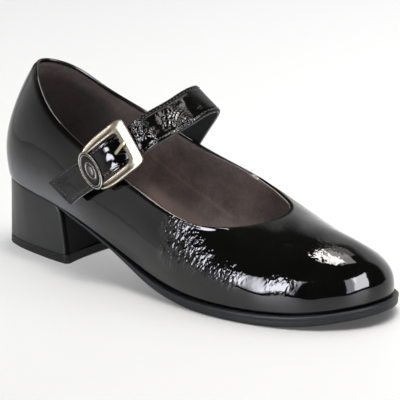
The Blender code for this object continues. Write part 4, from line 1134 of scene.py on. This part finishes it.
def build_tab():
    """Two leather layers on the quarter, joined by a loop round the pin with a prong notch."""
    radius = PIN_RADIUS + TAB_PIN_GAP + TAB_THICKNESS / 2
    side = np.linspace(-TAB_HALF_WIDTH, -TAB_NOTCH_HALF, TAB_SIDE_COLUMNS)
    columns = np.concatenate([side, -side[::-1]])
    flat_t = np.linspace(TAB_END_T, PIN_T - TAB_LOOP_LEAD, TAB_FLAT_ROWS)
    turn = np.radians(np.linspace(*TAB_LOOP_TURN, TAB_LOOP_STEPS))
    low_n = PIN_N - radius
    path = [(t, low_n) for t in flat_t]
    path += [(PIN_T + radius * np.cos(a), PIN_N + radius * np.sin(a)) for a in turn]
    path += [(t, low_n + TAB_THICKNESS + TAB_LAYER_GAP) for t in flat_t[::-1]]
    path = np.array(path)
    step = unit(np.gradient(path, axis=0))
    across = np.column_stack([-step[:, 1], step[:, 0]])
    edge = np.minimum(TAB_HALF_WIDTH - np.abs(columns), np.abs(columns) - TAB_NOTCH_HALF)
    half = TAB_THICKNESS / 2 * (0.45 + 0.55 * smooth_step(edge / 0.5))
    layers = []
    for sign in (1, -1):
        t, n = np.moveaxis(path[:, None] + sign * across[:, None] * half[None, :, None], -1, 0)
        layers.append(buckle_point(t, columns, n))
    for row in range(TAB_FLAT_ROWS):
        x, y, z = layers[1][row].T
        lift = quarter_y(-1, x, z) - TAB_CLEARANCE - y
        for layer in layers:
            layer[[row, len(path) - 1 - row], :, 1] += lift
    notch = TAB_SIDE_COLUMNS - 1
    holes = [(i, notch) for i in range(TAB_FLAT_ROWS - 1, TAB_FLAT_ROWS + TAB_LOOP_STEPS)]
    new_piece("buckle_tab_leather", layers, sheet_faces(len(path), len(columns), holes),
              TAB_PATENT, "patent_leather", ["buckle_tab"], sharp=50)


PRONG_HALF_WIDTH = 1.15
PRONG_EXTRA = 0.12        # what its roundness adds to the half thickness
PRONG_EYE_RADIUS = 1.3
# The prong from its eye to its tip: t, n, half thickness.
PRONG_PATH = [(-7.0, -1.50, 0.35), (-4.0, -1.72, 0.45), (0.0, -1.75, 0.50), (3.0, -0.95, 0.55),
              (6.0, 0.30, 0.55), (8.6, 1.65, 0.55), (10.4, 2.30, 0.50), (12.0, 2.42, 0.40)]


def build_prong():
    eye = [(PIN_T + PRONG_EYE_RADIUS * np.cos(a), PIN_N + PRONG_EYE_RADIUS * np.sin(a), 0.35)
           for a in np.radians(np.linspace(330, 100, 24))]
    path = np.array(eye + PRONG_PATH)
    knots = lengths_along(path[:, :2])
    at = np.linspace(0, knots[-1], 110)
    fine = spline(knots, path, at)
    step = unit(np.gradient(fine[:, :2], axis=0))
    side = np.column_stack([-step[:, 1], step[:, 0]])
    end = 1 - np.clip(knots[-1] - at, 0, 1)
    end = np.sqrt(np.clip(1 - end ** 2, 0.02, 1))[:, None]
    turn = np.radians(np.arange(0, 360, 20))
    wide, thick = (np.sign(part) * np.abs(part) ** 0.8 for part in (np.cos(turn), np.sin(turn)))
    thick = (fine[:, 2:] + PRONG_EXTRA) * end * thick
    t, n = np.moveaxis(fine[:, None, :2] + side[:, None] * thick[:, :, None], -1, 0)
    grid = buckle_point(t, PRONG_HALF_WIDTH * end * wide, n)
    tube_piece("buckle_prong_gold", grid, PRONG_METAL, "champagne_metal", ["buckle_prong"],
               sharp=50)


PLATE_T = -14.5
PLATE_HALF_LENGTH = 11.7
PLATE_HALF_WIDTH = 5.3
# Oval plate from its rim to its middle, a plain double border round a quiet dark field:
# scale, n, and how dark its own colour is there.
PLATE_SECTION = [(0.95, 1.25, 1.0), (0.99, 1.40, 0.9), (1.00, 1.70, 0.6), (1.00, 2.00, 0.2),
                 (0.985, 2.22, 0.0), (0.96, 2.34, 0.0), (0.935, 2.34, 0.0), (0.91, 2.24, 0.3),
                 (0.89, 2.10, 1.0), (0.86, 2.08, 1.0), (0.845, 2.20, 0.4), (0.83, 2.28, 0.0),
                 (0.81, 2.28, 0.0), (0.795, 2.18, 0.4), (0.775, 2.02, 1.0), (0.70, 1.96, 1.0),
                 (0.56, 1.96, 0.95), (0.47, 1.98, 0.9), (0.45, 2.08, 0.5), (0.425, 2.12, 0.3),
                 (0.40, 2.08, 0.5), (0.38, 1.98, 0.9), (0.26, 1.98, 0.9), (0.22, 2.06, 0.7),
                 (0.12, 2.14, 0.6), (0.02, 2.16, 0.6)]


def build_plate():
    turn = np.radians(np.arange(0, 360, 3))
    scale, n, deep = np.array(PLATE_SECTION).T[:, :, None]
    grid = buckle_point(PLATE_T + PLATE_HALF_WIDTH * scale * np.sin(turn),
                        PLATE_HALF_LENGTH * scale * np.cos(turn), n)
    tube_piece("buckle_plate_oval", grid, PLATE_METAL, "antique_metal", ["buckle_oval_plate"],
               sharp=60, attributes={"dark_field_and_painted_shade": np.broadcast_to(deep, grid.shape[:2])})


# ---- floor and lights

FLOOR_HALF = 4.0
FLOOR_GREY = (0.54, 0.54, 0.54)
# Painted light and shade: the floor glows a little, more past the heel than by the toe, and is
# painted darker by the heel than toward the toe.
FLOOR_PAINTED_TONE = (0.41, 0.66)
FLOOR_PAINTED_GLOW = (0.43, 0.08)
FLOOR_PAINTED_TURN = (-0.11, 0.08)
FLOOR_PAINTED_FADE = (0.30, 1.5)  # distances between which it is painted dimmer
FLOOR_PAINTED_DIMMING = 0.12


def build_floor():
    mesh = bpy.data.meshes.new("studio_floor")
    h = FLOOR_HALF
    mesh.from_pydata([(-h, -h, 0), (h, -h, 0), (h, h, 0), (-h, h, 0)], [], [(0, 1, 2, 3)])
    material, tree, shader = shader_material("studio_floor_material", FLOOR_GREY,
                                             roughness=0.45, specular=0.3)
    away = add_node(tree, "VectorMath", {0: place_in(tree)}, operation="LENGTH")
    ahead = add_node(tree, "SeparateXYZ", {0: place_in(tree)}).outputs[0]
    fade = soft_step(tree, away.outputs["Value"], *FLOOR_PAINTED_FADE)
    fade = maths(tree, "MULTIPLY_ADD", fade, -FLOOR_PAINTED_DIMMING, 1.0)
    painted_toe_share = soft_step(tree, ahead, *FLOOR_PAINTED_TURN)
    # Painted light and shade: colour and glow change from heel to toe and dim farther out.
    for socket, (heel, toe) in (("Base Color", FLOOR_PAINTED_TONE), ("Emission Color", FLOOR_PAINTED_GLOW)):
        value = maths(tree, "MULTIPLY_ADD", painted_toe_share, toe - heel, heel)
        feed(shader, {socket: maths(tree, "MULTIPLY", value, fade)})
    feed(shader, {"Emission Strength": 1.0})
    mesh.materials.append(material)
    floor = add_object("studio_floor", mesh)


def direction(azimuth, elevation):
    a, e = np.radians([azimuth, elevation])
    return np.array([np.cos(a) * np.cos(e), np.sin(a) * np.cos(e), np.sin(e)])


LIT_POINT = (200.0, -15.0, 30.0)
# Panels under the ceiling, each fainter and farther back than the last: name, x, y and height
# in metres from the lit point, sides x and y, turn in degrees, radiance.
CEILING = [("key", 0.03, 0.05, 1.30, 0.54, 0.21, -10, 21.0),
           ("halo", 0.08, 0.16, 1.31, 0.64, 0.30, -8, 4.2),
           ("glow", -0.06, 0.32, 1.32, 0.44, 0.50, -4, 1.4),
           ("haze", -0.12, 0.62, 1.34, 0.62, 0.80, 0, 0.1)]
CEILING_COLOUR = (1.0, 0.975, 0.93)
# Softboxes that face the lit point, each of nested layers so that it fades to its edges:
# name, layers, azimuth, elevation, distance, outer and inner size, radiance, colour.
SOFTBOXES = [
    ("left", 9, -87, 26, 1.84, (1.14, 1.44), (0.48, 0.96), 23.0, (0.91, 0.91, 1.0)),
    ("right", 2, -6.5, 25, 1.60, (0.62, 1.17), (0.56, 1.12), 15.0, (0.95, 0.95, 1.0)),
    ("edge", 2, -22, 24, 1.60, (0.28, 1.13), (0.24, 1.08), 5.0, (0.88, 0.88, 1.0)),
]
LAYER_STEP = 0.004
# A wide panel for the even, shadowless part of the light; it is kept out of reflections.
FILL_PLACE = (-0.10, 0.95, 2.1)
FILL_SIDE = 2.6
FILL_RADIANCE = 2.5
FILL_COLOUR = (0.98, 0.99, 1.0)


def new_light(name, place, turn, width, height, radiance, colour):
    light = bpy.data.lights.new(name, "AREA")
    light.shape = "RECTANGLE"
    light.size = width
    light.size_y = height
    light.energy = radiance * np.pi * width * height
    light.color = colour
    lamp = add_object(name, light)
    lamp.location = Vector(place)
    lamp.rotation_euler = turn
    return lamp


def build_lights():
    middle = to_frame(LIT_POINT)[0]
    for name, x, y, height, side_x, side_y, turn, radiance in CEILING:
        new_light("ceiling_" + name, middle + (x, y, height), (0, 0, np.radians(turn)),
                  side_x, side_y, radiance, CEILING_COLOUR)
    for name, layers, azimuth, elevation, distance, outer, inner, radiance, colour in SOFTBOXES:
        toward = direction(azimuth, elevation)
        aim = Vector(toward).to_track_quat("Z", "Y").to_euler()
        for k in range(layers):
            share = k / (layers - 1)
            width, height = np.array(outer) * (1 - share) + np.array(inner) * share
            place = middle + toward * (distance - LAYER_STEP * k)
            lamp = new_light(f"softbox_{name}_{k}", place, aim, width, height,
                             radiance / layers, colour)
            lamp.visible_diffuse = False
    fill = new_light("fill", middle + FILL_PLACE, (0, 0, 0), FILL_SIDE, FILL_SIDE,
                     FILL_RADIANCE, FILL_COLOUR)
    fill.visible_glossy = False


# Walls of the studio as soft bands: middle azimuth, half width and fade in degrees, the
# elevations between which the band fades out, and its radiance.
WALLS = [(94, 22, 18, 49, 64, 1.12), (-152, 30, 24, -4, 50, 0.80)]
STUDIO_DARK = 0.05


def build_world():
    """Dark studio with soft pale walls behind the shoe and past its heel."""
    world = bpy.data.worlds.new("studio_world")
    world.use_nodes = True
    tree = world.node_tree
    x, y, z = add_node(tree, "SeparateXYZ", {0: place_in(tree, "Generated")}).outputs
    reach = maths(tree, "SQRT", maths(tree, "MULTIPLY_ADD", x, x, maths(tree, "MULTIPLY", y, y)))
    reach = maths(tree, "MAXIMUM", reach, 0.001)
    strength = STUDIO_DARK
    for azimuth, half, fade, full, gone, radiance in WALLS:
        ahead, aside = direction(azimuth, 0)[:2]
        facing = maths(tree, "MULTIPLY_ADD", y, aside, maths(tree, "MULTIPLY", x, ahead))
        facing = maths(tree, "DIVIDE", facing, reach)
        edges = np.cos(np.radians([half + fade, half]))
        levels = np.sin(np.radians([gone, full]))
        glow = maths(tree, "MULTIPLY", soft_step(tree, facing, *edges),
                     soft_step(tree, z, *levels))
        strength = maths(tree, "MULTIPLY_ADD", glow, radiance, strength)
    feed(tree.nodes["Background"], {"Strength": strength, "Color": (1.0, 1.0, 1.0)})
    bpy.context.scene.world = world


CAMERA_AZIMUTH = 40.3625
CAMERA_ELEVATION = 16.7163
CAMERA_ROLL = 0.7589
CAMERA_DISTANCE = 1389.585
CAMERA_TARGET = (76.428, 60.0, 20.635)
CAMERA_LENS = 219.29


def build_camera():
    r = np.radians(CAMERA_ROLL)
    back = direction(CAMERA_AZIMUTH - 90, CAMERA_ELEVATION)
    right = direction(CAMERA_AZIMUTH, 0)
    up = np.cross(back, right)
    turned_right = np.cos(r) * right - np.sin(r) * up
    turned_up = np.sin(r) * right + np.cos(r) * up
    eye = to_frame(np.array(CAMERA_TARGET) + back * CAMERA_DISTANCE)[0]
    data = bpy.data.cameras.new("main_camera")
    data.sensor_width = 36.0
    data.lens = CAMERA_LENS
    data.clip_start = 0.05
    data.clip_end = 50.0
    camera = add_object("main_camera", data)
    turn = Matrix((turned_right, turned_up, back)).transposed().to_4x4()
    camera.matrix_world = Matrix.Translation(Vector(eye)) @ turn
    bpy.context.scene.camera = camera


for build in (build_upper, build_lining, build_throat_edge, build_footbed, build_outsole,
              build_heel, build_strap, build_stitching, build_buckle_frame, build_pin,
              build_prong, build_plate, build_tab, build_floor, build_lights, build_world,
              build_camera):
    build()
bpy.context.scene.view_settings.view_transform = "Standard"

bpy.context.view_layer.update()
